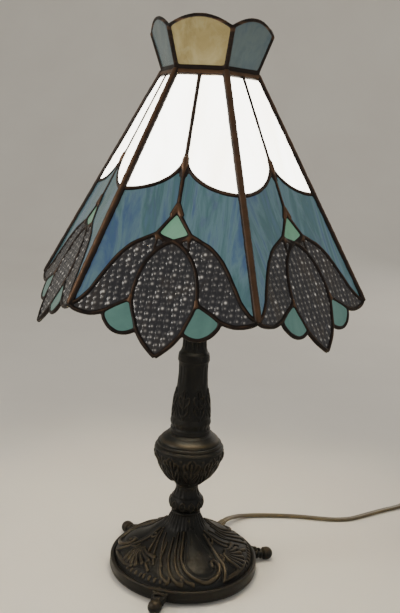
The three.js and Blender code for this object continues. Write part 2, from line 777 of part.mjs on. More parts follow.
function baseBody() {
  const surface = BASE_SHAPE.map(([r, z]) => [r * RIM_R, z * BASE_H]);
  const under = surface.slice(0, 6).map(([r, z]) => [r - 1.5, z - BASE_WALL]);
  return turnedRing([
    [RIM_R - 3.4, RIM_BOTTOM],
    [RIM_R - 1, RIM_BOTTOM],
    [RIM_R, RIM_BOTTOM + 2.5],
    [RIM_R, RIM_TOP - 3],
    [RIM_R - 1.2, RIM_TOP - 0.3],
    [RIM_R - 3.4, RIM_TOP],
    [RIM_R - 5.2, RIM_TOP - 0.6],
    ...surface,
    [PIPE_HOLE, BASE_H],
    [PIPE_HOLE, BOSS_Z],
    [NECK_CAVITY_R, BOSS_Z],
    ...under.reverse(),
    [RIM_R - 3.4, RIM_TOP - 4],
  ], 30);
}

// A scroll foot, drawn in the plane through the axis: a curled toe on a flat pad.
function foot() {
  const toe = FOOT_REACH - FOOT_BALL_R;
  const shape = new THREE.Shape();
  shape.moveTo(RIM_R - 8, 5);
  shape.lineTo(RIM_R + 1, 4.6);
  shape.quadraticCurveTo(RIM_R + 6, 3.6, toe - 7, 0);
  shape.lineTo(toe, 0);
  shape.absarc(toe, FOOT_BALL_R, FOOT_BALL_R, -Math.PI / 2, (3 * Math.PI) / 4, false);
  shape.quadraticCurveTo(RIM_R + 8, 9, RIM_R - 2, 12.2);
  shape.lineTo(RIM_R - 8, 12.2);
  const options = { depth: FOOT_W, bevelEnabled: false, curveSegments: 5 };
  return new THREE.ExtrudeGeometry(shape, options).rotateX(Math.PI / 2).translate(0, FOOT_W / 2, 0);
}

// Puts a solid made along +X at the cord's exit.
function atExit(geometry) {
  return geometry.rotateZ(CORD_EXIT_TURN);
}

function baseCasting() {
  let base = solid(baseBody());
  for (let i = 0; i < FOOT_COUNT; i += 1) {
    const turn = BASE_TURN - Math.PI / 2 + (i * TURN) / FOOT_COUNT;
    base = base.add(solid(foot().rotateZ(turn)));
  }
  const hole = rod(RELIEF_R + GAP, RIM_R - 10, RIM_R + 5, 16).rotateY(Math.PI / 2);
  return geometryOf(base.subtract(solid(atExit(hole.translate(0, 0, CORD_EXIT_Z)))));
}
piece('base_casting', 'bronze', baseCasting());

// The strain relief: a flange against the rim, and a taper along the cord.
function cordBushing() {
  const flange = RIM_R + GAP;
  const end = RIM_R + RELIEF_END;
  const profile = [
    [RELIEF_BORE, RIM_R - 6],
    [RELIEF_R, RIM_R - 6],
    [RELIEF_R, flange],
    [FLANGE_R, flange],
    [FLANGE_R, flange + FLANGE_T],
    [RELIEF_R + 1, flange + FLANGE_T + 1],
    [RELIEF_BORE + 0.6, end],
    [RELIEF_BORE, end],
  ];
  return atExit(turnedRing(profile, 16).rotateY(Math.PI / 2).translate(0, 0, CORD_EXIT_Z));
}
piece('cord_bushing', 'black_plastic', cordBushing());

// ---------------------------------------------------------------- cord

const leadStart = RIM_R + 6; // the cord and the lead inside the lamp meet in the strain relief
const onExit = (r, z) => new THREE.Vector3(r * relief.x, r * relief.y, z);

// The lead runs from the strain relief under the base, then up the pipe to the socket.
const leadCurve = new THREE.CatmullRomCurve3([
  onExit(leadStart, CORD_EXIT_Z),
  onExit(RIM_R - 10, CORD_EXIT_Z),
  onExit(50, 9),
  onExit(26, 14),
  onExit(8, 28),
  onExit(1.2, 42),
  new THREE.Vector3(0, 0, 52),
  new THREE.Vector3(0, 0, 70),
  new THREE.Vector3(0, 0, (BASE_H + PIPE_TOP) / 2),
  new THREE.Vector3(0, 0, PIPE_TOP),
], false, 'centripetal');
piece('inner_lead', 'gold_cord', tube(leadCurve, ellipse(LEAD_R, LEAD_R, 6), 26));

// The cord's way over the table: down from the strain relief, then off to the right.
const CORD_ROUTE = [
  [29.3, 107.5, 8.4], [33.5, 117, 6.4], [40.5, 127.5, 4.3], [50, 135.2, 2.8], [60.5, 140.6, 2.2],
  [83, 147.6, 2.2], [98, 151.3, 2.2], [114, 154.6, 2.2], [138, 157.6, 2.2], [157, 161, 2.2],
  [175, 169.3, 2.2], [188, 180.5, 2.2], [199.5, 192, 2.2], [218.5, 210, 2.2], [232, 221.8, 2.2],
  [242.5, 234.5, 2.2], [248.3, 249.1, 2.2], [253.1, 262.2, 2.2],
];
const coilJoin = THREE.MathUtils.degToRad(160); // where the cord meets the coil's outer turn

function freeCord() {
  const points = [onExit(leadStart + GAP, CORD_EXIT_Z), onExit(93, CORD_EXIT_Z), onExit(101, 9.2)];
  points.push(...CORD_ROUTE.map(([x, y, z]) => new THREE.Vector3(x, y, z)));
  const end = [COIL_X + COIL_OUTER * Math.cos(coilJoin), COIL_Y + COIL_OUTER * Math.sin(coilJoin)];
  points.push(new THREE.Vector3(end[0], end[1], 2.2));
  const curve = new THREE.CatmullRomCurve3(points, false, 'centripetal');
  const whole = solid(tube(curve, ellipse(CORD_T / 2, CORD_W / 2, 8), 30));
  const coil = rod(COIL_OUTER + CORD_W / 2 + 2 * GAP, -5, 30, 48).translate(COIL_X, COIL_Y, 0);
  return geometryOf(whole.subtract(solid(coil)));
}
piece('cord', 'gold_cord', freeCord());

const COIL_Z = TIE_T + 2 * GAP; // the coil rests on its tie
const coilInner = COIL_OUTER - (COIL_COLUMNS - 1) * COIL_PITCH - CORD_W / 2;
const coilRim = COIL_OUTER + CORD_W / 2;
const coilTop = COIL_Z + COIL_LAYERS * (CORD_T + 0.2);
const tailAt = new THREE.Matrix4()
  .makeTranslation(COIL_X, COIL_Y, 0)
  .multiply(new THREE.Matrix4().makeRotationZ(COIL_LEAVE));
const tailZ = coilTop - CORD_T / 2;

// The coil's outer shape, with the short end that goes to the plug.
function coil() {
  const profile = [[coilInner, COIL_Z], [coilRim, COIL_Z], [coilRim, coilTop], [coilInner, coilTop]];
  const ring = turnedRing(profile, 48).translate(COIL_X, COIL_Y, 0);
  const half = CORD_W / 2;
  const [inner, outer] = [COIL_OUTER - half, COIL_OUTER + half - 0.1];
  const outline = [[inner, -TAIL_L], [outer, -TAIL_L], [outer, 0], [inner, 0]];
  const tail = plate(outline, tailZ - CORD_T / 2 + 0.1, tailZ + CORD_T / 2).applyMatrix4(tailAt);
  return geometryOf(join(ring, tail));
}
piece('cord_coil', 'gold_cord', coil());

// The tie goes round the coil's section: it is drawn upright and turned to its place.
function tie() {
  const low = coilInner - GAP;
  const high = coilRim + GAP + 0.1;
  const top = coilTop + GAP;
  const outerTop = top + TIE_T;
  const outer = [[low - TIE_T, 0], [high + TIE_T, 0], [high + TIE_T, outerTop], [low - TIE_T, outerTop]];
  const hole = [[low, COIL_Z - GAP], [low, top], [high, top], [high, COIL_Z - GAP]];
  const band = plate(outer, -TIE_W / 2, TIE_W / 2, [hole]).rotateX(Math.PI / 2);
  return band.rotateZ(TIE_TURN).translate(COIL_X, COIL_Y, 0);
}
piece('cord_tie', 'black_plastic', tie());

// The plug lies beside the coil, on its flat side.
const plug = new THREE.Group();
plug.applyMatrix4(tailAt.clone().multiply(new THREE.Matrix4().makeTranslation(COIL_OUTER, -TAIL_L - GAP, 0)));
lamp.add(plug);

function plugBody() {
  const half = PLUG_W / 2;
  const shoulder = half * 0.75;
  const outline = [
    [-half, -PLUG_RELIEF_L - PLUG_L],
    [half, -PLUG_RELIEF_L - PLUG_L],
    [half, -PLUG_RELIEF_L - 5],
    [shoulder, -PLUG_RELIEF_L],
    [5, -PLUG_RELIEF_L],
    [4.2, 0],
    [-4.2, 0],
    [-5, -PLUG_RELIEF_L],
    [-shoulder, -PLUG_RELIEF_L],
    [-half, -PLUG_RELIEF_L - 5],
  ];
  return plate(outline, 0.2, PLUG_H);
}
piece('plug_body', 'black_plastic', plugBody(), plug);

for (const [name, side] of [['left', -1], ['right', 1]]) {
  const blade = new THREE.BoxGeometry(BLADE_T, BLADE_L, BLADE_W);
  const mesh = piece(`plug_blade_${name}`, 'brass', blade, plug);
  const y = -PLUG_RELIEF_L - PLUG_L - GAP - BLADE_L / 2;
  mesh.position.set((side * BLADE_SPACING) / 2, y, PLUG_H / 2);
}

export default lamp;
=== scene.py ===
"""Looks of a stained glass table lamp: six-sided leaded shade on a cast bronze stem."""
import math

import bmesh
import bpy
import numpy as np
from mathutils import Matrix, Vector
from mathutils.geometry import delaunay_2d_cdt


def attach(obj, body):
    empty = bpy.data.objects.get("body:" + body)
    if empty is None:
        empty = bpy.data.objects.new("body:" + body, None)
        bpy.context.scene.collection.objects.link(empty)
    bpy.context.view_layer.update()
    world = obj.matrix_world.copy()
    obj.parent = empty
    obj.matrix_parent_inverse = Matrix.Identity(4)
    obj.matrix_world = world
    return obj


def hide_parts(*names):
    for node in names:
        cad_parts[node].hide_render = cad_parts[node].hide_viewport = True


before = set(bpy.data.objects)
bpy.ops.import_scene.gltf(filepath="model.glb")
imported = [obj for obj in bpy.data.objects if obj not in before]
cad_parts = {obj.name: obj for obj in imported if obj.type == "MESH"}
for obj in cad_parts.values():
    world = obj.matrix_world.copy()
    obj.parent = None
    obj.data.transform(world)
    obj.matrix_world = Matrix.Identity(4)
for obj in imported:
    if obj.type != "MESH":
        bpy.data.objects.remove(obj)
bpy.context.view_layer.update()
MM = 0.001
TURN = 2 * math.pi


# ---------------------------------------------------------------- camera and mesh helpers

def placed(name, data):
    obj = bpy.data.objects.new(name, data)
    bpy.context.scene.collection.objects.link(obj)
    return obj


def orthonormal(right, up, forward, place):
    """Camera matrix from its three directions and its place, in metres."""
    m = Matrix.Identity(4)
    for row in range(3):
        m[row][0], m[row][1], m[row][2], m[row][3] = right[row], up[row], -forward[row], place[row]
    return m


camera_data = bpy.data.cameras.new("camera")
camera_data.lens = 46.58
camera_data.sensor_width = 36
camera_data.clip_start = 0.01
camera = placed("camera", camera_data)
camera.matrix_world = orthonormal(
    (0.97534, 0.21404, 0.05380), (-0.09553, 0.18968, 0.97719), (-0.19896, 0.95823, -0.20545),
    (0.16409, -0.77431, 0.45680))
bpy.context.scene.camera = camera


def link(name, mesh, material, smooth=True):
    obj = placed(name, mesh)
    mesh.materials.append(material)
    mesh.polygons.foreach_set("use_smooth", [smooth] * len(mesh.polygons))
    return obj


def piece(name, mesh, material, nodes, body="root", smooth=True):
    """Put a finished mesh in the scene on its body, in the place of its CAD nodes."""
    obj = link(name, mesh, material, smooth)
    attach(obj, body)
    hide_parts(*nodes)
    return obj


def from_lists(name, verts, faces):
    mesh = bpy.data.meshes.new(name)
    mesh.from_pydata([tuple(v) for v in verts], [], [tuple(f) for f in faces])
    mesh.validate()
    mesh.update()
    return mesh


def closed_mesh(name, verts, faces):
    """Mesh of a closed skin given in millimetres, with its faces turned outward."""
    mesh = from_lists(name, to_metres(verts), faces)
    bm = bmesh.new()
    bm.from_mesh(mesh)
    bmesh.ops.recalc_face_normals(bm, faces=bm.faces)
    bm.to_mesh(mesh)
    bm.free()
    return mesh


# ---------------------------------------------------------------- materials

class Shader:
    """Short calls for building one node material."""

    def __init__(self, name, panel=False):
        self.material = bpy.data.materials.new(name)
        self.material.use_nodes = True
        self.tree = self.material.node_tree
        self.bsdf = self.tree.nodes["Principled BSDF"]
        if panel:
            self.place = self.add("Attribute", "Vector", {}, attribute_name="panel")
        else:
            self.place = self.add("TexCoord", "Object", {})

    def put(self, socket, value):
        """Link a socket to an output, or set it to a number, a vector or a colour."""
        if isinstance(value, bpy.types.NodeSocket):
            self.tree.links.new(value, socket)
        elif socket.type == "RGBA":
            socket.default_value = (*value, 1)
        else:
            socket.default_value = value

    def add(self, kind, output, inputs, **settings):
        node = self.tree.nodes.new("ShaderNode" + kind)
        for key, value in settings.items():
            setattr(node, key, value)
        for key, value in inputs.items():
            self.put(node.inputs[key], value)
        return node.outputs[output]

    def set(self, **values):
        for key, value in values.items():
            self.put(self.bsdf.inputs[key.replace("_", " ")], value)

    def scaled(self, factors):
        return self.add("Mapping", "Vector", {"Scale": factors, "Vector": self.place})

    def noise(self, scale, detail=4, rough=0.55, distort=0, vector=None):
        return self.add("TexNoise", "Fac", {
            "Scale": scale, "Detail": detail, "Roughness": rough, "Distortion": distort,
            "Vector": vector or self.place})

    def attribute(self, name):
        return self.add("Attribute", "Fac", {}, attribute_name=name)

    def ramp(self, value, stops):
        colour_out = self.add("ValToRGB", "Color", {"Fac": value})
        elements = colour_out.node.color_ramp.elements
        while len(elements) < len(stops):
            elements.new(0.5)
        for element, (at, colour) in zip(elements, stops):
            element.position = at
            element.color = (*colour, 1)
        return colour_out

    def mix(self, factor, a, b):
        node = self.tree.nodes.new("ShaderNodeMix")
        node.data_type = "RGBA"
        for socket, value in zip([s for s in node.inputs if s.enabled], (factor, a, b)):
            self.put(socket, value)
        return [s for s in node.outputs if s.enabled][0]

    def math(self, how, a, b):
        return self.add("Math", "Value", {0: a, 1: b}, operation=how)

    def span(self, value, low, high, to_low, to_high):
        return self.add("MapRange", "Result", {
            "Value": value, "From Min": low, "From Max": high, "To Min": to_low, "To Max": to_high})

    def bump(self, height, strength, distance):
        self.set(Normal=self.add("Bump", "Normal", {
            "Strength": strength, "Distance": distance, "Height": height}))


def srgb(r, g, b):
    """Linear colour from 0-255 sRGB numbers."""
    return tuple(((c / 255 + 0.055) / 1.055) ** 2.4 if c > 10 else c / 255 / 12.92 for c in (r, g, b))


def bronze(name, dark=srgb(16, 16, 15), mid=srgb(26, 25, 22), bright=srgb(98, 84, 60), most=0.5):
    """Dark patinated casting, rubbed bright on its high places. The same bright mix also carries painted
    highlights: a band on the urn cap's slope and the tops of the ball feet.
    """
    s = Shader(name)
    patches = s.noise(55, 6, 0.6, 0.4)
    grain = s.noise(420, 4, 0.6)
    base = s.ramp(patches, [(0.3, dark), (0.62, mid), (0.85, srgb(24, 27, 24))])
    unevenness = s.math("MULTIPLY", s.math("SUBTRACT", patches, 0.5), 0.5)
    # The wear attribute holds rubbed wear, and painted highlights on the urn cap and the feet.
    high = s.math("ADD", s.attribute("wear_and_highlight"), unevenness)
    amount = s.span(high, 0.55, 1.2, 0, most)
    colour = s.mix(amount, base, bright)
    s.set(Base_Color=colour)
    s.set(Metallic=0.55, Specular_IOR_Level=0.4)
    s.set(Roughness=s.span(s.math("ADD", patches, s.math("MULTIPLY", amount, -0.35)), 0.2, 0.8, 0.34, 0.6))
    s.bump(grain, 0.25, 0.0006)
    return s.material


def metal(name, light, dark, rough=0.3, scale=120, metallic=1.0, bump=0.12):
    s = Shader(name)
    patches = s.noise(scale, 5, 0.6, 0.3)
    s.set(Base_Color=s.ramp(patches, [(0.25, dark), (0.6, light), (0.9, light)]))
    s.set(Metallic=metallic)
    s.set(Roughness=s.span(patches, 0.2, 0.8, rough + 0.2, rough))
    s.bump(s.noise(scale * 7, 3), bump, 0.0004)
    return s.material


def glass(name, stops, streak=(34, 5, 20), glow=0.35, rough=0.22, wisps=None, bumps=0.2):
    """Streaky art glass with a little light coming through it. Stops are colours along the streaks."""
    s = Shader(name, True)
    stretched = s.scaled(streak)
    flow = s.noise(1.0, 7, 0.62, 1.1, stretched)
    colour = s.ramp(flow, stops)
    if wisps:
        fine = s.noise(3.2, 5, 0.7, 2.2, s.scaled((streak[0] * 0.8, streak[1] * 1.2, streak[2])))
        colour = s.mix(s.span(fine, 0.52, 0.78, 0, wisps[1]), colour, wisps[0])
    shade = s.attribute("tone")
    colour = s.mix(s.math("SUBTRACT", 1.0, shade), colour, (0.02, 0.03, 0.03))
    s.set(Base_Color=colour)
    s.set(Emission_Color=colour)
    s.set(Emission_Strength=glow, Roughness=rough, IOR=1.5, Coat_Weight=0.2, Coat_Roughness=0.08)
    s.bump(s.noise(60, 4, 0.5, 0.6), bumps, 0.0012)
    return s.material


MATERIAL = {
    "bronze": bronze("bronze"),
    "solder": bronze("solder", srgb(14, 11, 9), srgb(38, 27, 20), srgb(124, 90, 62), 0.66),
    "brass": metal("brass", srgb(150, 118, 62), srgb(92, 70, 38), 0.28),
    "steel": metal("steel", srgb(172, 172, 168), srgb(120, 120, 118), 0.25),
    "aluminium": metal("aluminium", srgb(190, 190, 188), srgb(150, 150, 150), 0.32),
    "blades": metal("blades", srgb(186, 160, 98), srgb(140, 118, 72), 0.22),
}


def plastic(name, colour, other, rough=0.35, scale=300):
    s = Shader(name)
    spots = s.noise(scale, 4)
    s.set(Base_Color=s.ramp(spots, [(0.3, colour), (0.8, other)]))
    s.set(Roughness=s.span(spots, 0.3, 0.7, rough, rough + 0.15))
    s.bump(spots, 0.12, 0.0003)
    return s.material


MATERIAL["black"] = plastic("black_plastic", srgb(22, 20, 18), srgb(38, 34, 30))
MATERIAL["porcelain"] = plastic("porcelain", srgb(222, 218, 206), srgb(204, 198, 184), 0.18, 90)


def cord_material():
    s = Shader("gold_cord")
    sheen = s.noise(70, 3)
    s.set(Base_Color=s.ramp(sheen, [(0.3, srgb(66, 55, 31)), (0.7, srgb(90, 77, 46))]))
    s.set(Roughness=0.34, Coat_Weight=0.4, Coat_Roughness=0.2, Specular_IOR_Level=0.4)
    s.bump(s.noise(900, 2), 0.08, 0.0002)
    return s.material


MATERIAL["cord"] = cord_material()

WHITE = srgb(255, 253, 244)


def white_glass():
    s = Shader("white_opal", True)
    wisps = s.noise(1.0, 5, 0.5, 0.8, s.scaled((30, 6, 20)))
    colour = s.ramp(wisps, [(0.25, srgb(240, 233, 214)), (0.6, WHITE)])
    s.set(Base_Color=colour)
    # Painted light: the opal glass glows by emission, standing in for the bulb's light coming through it.
    s.set(Emission_Color=colour)
    s.set(Emission_Strength=7.0, Roughness=0.16, Coat_Weight=0.3)
    s.bump(s.noise(45, 3), 0.12, 0.001)
    return s.material


GLASS = {
    "white": white_glass(),
    "blue": glass("blue_glass", [
        (0.22, srgb(46, 72, 108)), (0.36, srgb(68, 97, 114)), (0.46, srgb(58, 92, 96)),
        (0.54, srgb(82, 110, 118)), (0.63, srgb(52, 79, 112)), (0.75, srgb(64, 99, 98)),
        (0.86, srgb(96, 121, 128))],
        glow=0.4, wisps=(srgb(66, 68, 112), 0.5)),
    "teal": glass("teal_glass", [
        (0.3, srgb(64, 100, 94)), (0.5, srgb(74, 112, 104)), (0.7, srgb(86, 121, 114))], (30, 12, 20),
        0.36),
    "mint": glass("mint_glass", [
        (0.3, srgb(86, 132, 104)), (0.5, srgb(98, 146, 118)), (0.7, srgb(112, 156, 130))], (30, 12, 20),
        0.4),
    "cream": glass("cream_glass", [
        (0.25, srgb(122, 106, 62)), (0.45, srgb(146, 130, 84)), (0.6, srgb(166, 152, 108)),
        (0.8, srgb(130, 114, 70))],
        (26, 14, 20), 0.27, wisps=(srgb(164, 154, 114), 0.6)),
    "grey": glass("grey_glass", [
        (0.25, srgb(56, 72, 78)), (0.45, srgb(80, 93, 94)), (0.6, srgb(64, 80, 88)),
        (0.8, srgb(98, 106, 102))],
        (26, 14, 20), 0.2, wisps=(srgb(56, 72, 88), 0.6)),
}


def petal_glass():
    """Near-black purple glass pressed with round dimples, with a faint painted glow and painted light on
    the dimples: a lit ring and a bright glint where a dimple lets the light through.
    """
    s = Shader("purple_glass", True)
    flow = s.noise(1.0, 6, 0.6, 0.8, s.scaled((30, 16, 20)))
    dark = s.ramp(flow, [
        (0.3, srgb(17, 17, 23)), (0.5, srgb(28, 27, 31)), (0.62, srgb(40, 34, 30)),
        (0.8, srgb(24, 28, 29))])
    painted_glint = s.attribute("painted_glint")
    ring = s.attribute("ring")
    patch = s.noise(260, 3)
    # Painted highlights: a grey ring lit on one side of each dimple, then a bright glint dot.
    colour = s.mix(s.math("MULTIPLY", ring, s.span(patch, 0.35, 0.7, 0.1, 0.7)), dark, srgb(112, 110, 112))
    colour = s.mix(painted_glint, colour, srgb(232, 226, 218))
    s.set(Base_Color=colour)
    s.set(Emission_Color=colour)
    s.set(Emission_Strength=0.2, Roughness=0.24, Coat_Weight=0.15, Coat_Roughness=0.1)
    s.bump(s.noise(160, 4), 0.2, 0.0006)
    return s.material


GLASS["purple"] = petal_glass()


# ---------------------------------------------------------------- curves and tubes

def smooth_line(points, step=1.0, closed=False):
    """Catmull-Rom curve through points, resampled at even steps."""
    p = np.array(points, float)
    if closed:
        p = np.vstack([p[-1], p, p[:2]])
    else:
        p = np.vstack([2 * p[0] - p[1], p, 2 * p[-1] - p[-2]])
    out = []
    for i in range(1, len(p) - 2):
        t = np.linspace(0, 1, 24, endpoint=False)[:, None]
        a, b, c, d = p[i - 1], p[i], p[i + 1], p[i + 2]
        square = (2 * a - 5 * b + 4 * c - d) * t**2
        cube = (3 * b - a - 3 * c + d) * t**3
        out.append(0.5 * (2 * b + (c - a) * t + square + cube))
    line = np.vstack([*out, p[-2][None]])
    return resampled(line, step)


def resampled(line, step):
    line = np.array(line, float)
    gaps = np.linalg.norm(np.diff(line, axis=0), axis=1)
    along = np.concatenate([[0], np.cumsum(gaps)])
    count = max(2, int(round(along[-1] / step)) + 1)
    at = np.linspace(0, along[-1], count)
    return np.stack([np.interp(at, along, line[:, k]) for k in range(line.shape[1])], 1)


def frames(path, up):
    """Unit vectors to the side of a path and over it, at each of its points."""
    tangent = np.gradient(path, axis=0)
    tangent /= np.linalg.norm(tangent, axis=1)[:, None]
    side = np.cross(np.broadcast_to(up, tangent.shape), tangent)
    size = np.linalg.norm(side, axis=1)[:, None]
    side = np.where(size > 1e-6, side / np.maximum(size, 1e-9), (1, 0, 0))
    return side, np.cross(tangent, side)


def loft(rings):
    """Vertices and faces of a closed skin over rings that have equal numbers of points."""
    n, m = len(rings), len(rings[0])
    faces = [(i * m + j, i * m + (j + 1) % m, (i + 1) * m + (j + 1) % m, (i + 1) * m + j)
             for i in range(n - 1) for j in range(m)]
    faces.append(tuple(reversed(range(m))))
    faces.append(tuple((n - 1) * m + j for j in range(m)))
    return np.array(rings, float).reshape(-1, 3), faces


def swept(path, section, up=(0, 0, 1), scale=None):
    """Closed tube along a path. A section is a list of (side, over) offsets, a scale one factor a point."""
    path = np.array(path, float)
    side, over = frames(path, up)
    section = np.array(section, float)
    factor = np.ones(len(path)) if scale is None else np.array(scale, float)
    return loft(path[:, None] + factor[:, None, None] * (
        section[None, :, :1] * side[:, None] + section[None, :, 1:] * over[:, None]))


def angles(count):
    return [TURN * k / count for k in range(count)]


def circle(radius, count=10, flat=1.0):
    return [(radius * math.cos(a), radius * flat * math.sin(a)) for a in angles(count)]


def squared(value, power):
    """A cosine or sine bent towards a rounded square."""
    return math.copysign(abs(value) ** power, value)


def float_layer(mesh, name, values):
    layer = mesh.attributes.get(name) or mesh.attributes.new(name, "FLOAT", "POINT")
    layer.data.foreach_set("value", np.asarray(values, np.float32))


def add_wear_and_highlight(mesh, values):
    float_layer(mesh, "wear_and_highlight", values)


def co_of(mesh):
    co = np.zeros(len(mesh.vertices) * 3, np.float64)
    mesh.vertices.foreach_get("co", co)
    return co.reshape(-1, 3)


def merged(parts):
    verts, faces, base = [], [], 0
    for v, f in parts:
        verts.extend(v)
        faces.extend(tuple(base + i for i in face) for face in f)
        base += len(v)
    return verts, faces


def to_metres(verts):
    return np.array(verts, float) * MM


# ---------------------------------------------------------------- cord

EXIT_TURN = math.radians(75)
EXIT_Z = 9.3
COIL = (303.0, 259.0)
COIL_OUTER = 48.0
PITCH = 7.1
COIL_JOIN = 160.0
COIL_LEAVE = -45.0
TIE_AT = 210.0


def on_exit(r, z):
    return (r * math.cos(EXIT_TURN), r * math.sin(EXIT_TURN), z)


def ease(t):
    t = min(max(t, 0.0), 1.0)
    return t * t * (3 - 2 * t)


def coil_points():
    """The coil's centre line, clockwise from where the cord joins it to where the plug's end leaves it."""
    low, high, points = 2.3, 6.6, []
    inward = [-125 - 360 * k for k in range(2)]
    outward = [-45 - 360 * k for k in range(3, 5)]
    rise_start = -85 - 360 * 2
    angle, last = COIL_JOIN, COIL_LEAVE - 360 * 5
    while angle >= last - 0.01:
        radius = COIL_OUTER
        for start in inward:
            radius -= PITCH * ease((start - angle) / 40)
        for start in outward:
            radius += PITCH * ease((start - angle) / 50)
        lift = ease((rise_start - angle) / 40)
        tie = math.exp(-((((angle - TIE_AT) + 180) % 360 - 180) / 26) ** 2)
        z = low + (high - low) * lift + 1.2 * tie
        a = math.radians(angle)
        points.append((COIL[0] + radius * math.cos(a), COIL[1] + radius * math.sin(a), z))
        angle -= 5
    return points


CORD_ROUTE = [
    (29.3, 107.5, 8.4), (33.5, 117, 6.4), (40.5, 127.5, 4.3), (50, 135.2, 2.8), (60.5, 140.6, 2.3),
    (83, 147.6, 2.3), (98, 151.3, 2.3), (114, 154.6, 2.3), (138, 157.6, 2.3), (157, 161, 2.3),
    (175, 169.3, 2.3), (188, 180.5, 2.3), (199.5, 192, 2.3), (218.5, 210, 2.3), (232, 221.8, 2.3),
    (242.5, 234.5, 2.3), (248.3, 249.1, 2.3), (253.1, 262.2, 2.3)]
coil_line = coil_points()
tangent_in = np.array(coil_line[-1]) - np.array(coil_line[-2])
tangent_in /= np.linalg.norm(tangent_in)
tail = [tuple(np.array(coil_line[-1]) + tangent_in * t + np.array((0, 0, 0.9)) * ease(t / 30))
        for t in (9, 18, 27, 35.5)]
cord_path = smooth_line(
    [on_exit(86, 9.3), on_exit(93, 9.3), on_exit(101, 9.2)] + CORD_ROUTE + coil_line + tail, 3.0)
# Section of the flat twin cord: two cores side by side with a waist between them.
TWIN = []
for a in angles(20):
    wide, thick = math.cos(a), math.sin(a)
    waist = 1 - 0.22 * math.exp(-(wide / 0.22) ** 2)
    TWIN.append((3.5 * squared(wide, 0.8), 1.95 * waist * squared(thick, 0.75)))
verts, faces = swept(cord_path, TWIN)
cord = piece("cord_lead", from_lists("cord_lead", to_metres(verts), faces), MATERIAL["cord"],
             ["cord", "cord_coil"])


def tie_strap():
    """The flat strip that holds the coil, with its twisted end."""
    a = math.radians(TIE_AT)
    out, side = np.array((math.cos(a), math.sin(a), 0)), np.array((-math.sin(a), math.cos(a), 0))
    low, high, top = COIL_OUTER - 2 * PITCH - 4.4, COIL_OUTER + 4.5, 10.3
    loop = smooth_line([(low, 1.6), (low + 1, 0.55), (high - 1, 0.55), (high, 1.6), (high, top - 1),
                        (high - 1.2, top), (low + 1.2, top), (low, top - 1)], 1.5, closed=True)[:-1]
    verts, n = [], len(loop)
    centre = loop.mean(axis=0)
    for u, z in loop:
        away = np.array((u, z)) - centre
        away /= np.linalg.norm(away)
        for w, t in ((-2.4, 0), (2.4, 0), (2.4, 0.8), (-2.4, 0.8)):
            q = (u + away[0] * (t - 0.4), z + away[1] * (t - 0.4))
            verts.append(np.array((*COIL, 0)) + out * q[0] + side * w + np.array((0, 0, q[1])))
    faces = [(i * 4 + j, i * 4 + (j + 1) % 4, ((i + 1) % n) * 4 + (j + 1) % 4, ((i + 1) % n) * 4 + j)
             for i in range(n) for j in range(4)]
    ends = []
    for way in (1, -1):
        start = np.array((*COIL, 0)) + out * (COIL_OUTER - PITCH) + np.array((0, 0, top + 0.4))
        line = [start + side * way * t * 0.6 + out * 0.9 * math.sin(t)
                + np.array((0, 0, 0.9 * math.sin(t * 0.5)))
                for t in np.linspace(0, 9, 10)]
        ends.append(swept(line, circle(0.75, 8)))
    v, f = merged([(verts, faces)] + ends)
    return piece("coil_strap", from_lists("coil_strap", to_metres(v), f), MATERIAL["black"],
                 ["cord_tie"])


strap = tie_strap()


def plug():
    """Moulded two-blade plug with a ribbed, tapering sleeve on the cord's end."""
    turn = math.radians(COIL_LEAVE)
    place = (Matrix.Translation((COIL[0] * MM, COIL[1] * MM, 0)) @ Matrix.Rotation(turn, 4, "Z")
             @ Matrix.Translation((COIL_OUTER * MM, -36.3 * MM, 0)))
    sides = 32
    rows = [(0, 4.2, 2.8), (4, 4.3, 2.9), (4.8, 4.9, 3.5), (6.6, 4.9, 3.5), (7.4, 4.5, 3.1),
            (8.8, 4.6, 3.2), (9.6, 5.4, 4.0), (11.6, 5.4, 4.0), (12.4, 4.9, 3.5), (13.8, 5.0, 3.6),
            (14.6, 6.2, 4.6), (16.8, 6.4, 4.8), (17.6, 6.2, 4.6), (19, 7.4, 5.2), (21.5, 10.2, 6.3),
            (25, 11.3, 6.9), (30, 10.6, 6.7), (36, 10.4, 6.6), (40, 11.2, 7.0), (42, 11.9, 7.35),
            (45.2, 11.9, 7.35), (46, 11.3, 6.9)]
    rings = [[(wide * squared(math.cos(a), 0.62), -y, 7.55 + tall * squared(math.sin(a), 0.62))
              for a in angles(sides)]
             for y, wide, tall in rows]
    mesh = closed_mesh("plug_shell", *loft(rings))
    # The subdivision rounds the sleeve's ribs but leaves both flat ends as they are.
    at_end = [v.index < sides or v.index >= len(mesh.vertices) - sides for v in mesh.vertices]
    float_layer(mesh, "crease_vert", at_end)
    crease = mesh.attributes.new("crease_edge", "FLOAT", "EDGE")
    crease.data.foreach_set("value", [float(all(at_end[v] for v in edge.vertices)) for edge in mesh.edges])
    mesh.transform(place)
    shell = piece("plug_shell", mesh, MATERIAL["cord"], ["plug_body"])
    bevel = shell.modifiers.new("round", "SUBSURF")
    bevel.levels = bevel.render_levels = 1
    blades = []
    for name, x in (("left", -6.35), ("right", 6.35)):
        outline = [(-0.75, 0), (0.75, 0), (0.75, 15), (0.3, 16.4), (-0.3, 16.4), (-0.75, 15)]
        v = [(x + u, -46.1 - d, 7.5 + z) for z in (-3.15, 3.15) for u, d in outline]
        n = len(outline)
        f = [tuple(range(n)), tuple(reversed(range(n, 2 * n)))]
        f += [(i + n, (i + 1) % n + n, (i + 1) % n, i) for i in range(n)]
        bm = bmesh.new()
        bm.from_mesh(from_lists("tmp", to_metres(v), f))
        bmesh.ops.bevel(bm, geom=bm.edges[:], offset=0.0002, segments=2, affect="EDGES", profile=0.5)
        bm.transform(place)
        mesh = bpy.data.meshes.new("blade_" + name)
        bm.to_mesh(mesh)
        bm.free()
        blades.append(piece("plug_pin_" + name, mesh, MATERIAL["blades"], ["plug_blade_" + name],
                            smooth=False))
    return [shell, *blades]


plug_pieces = plug()


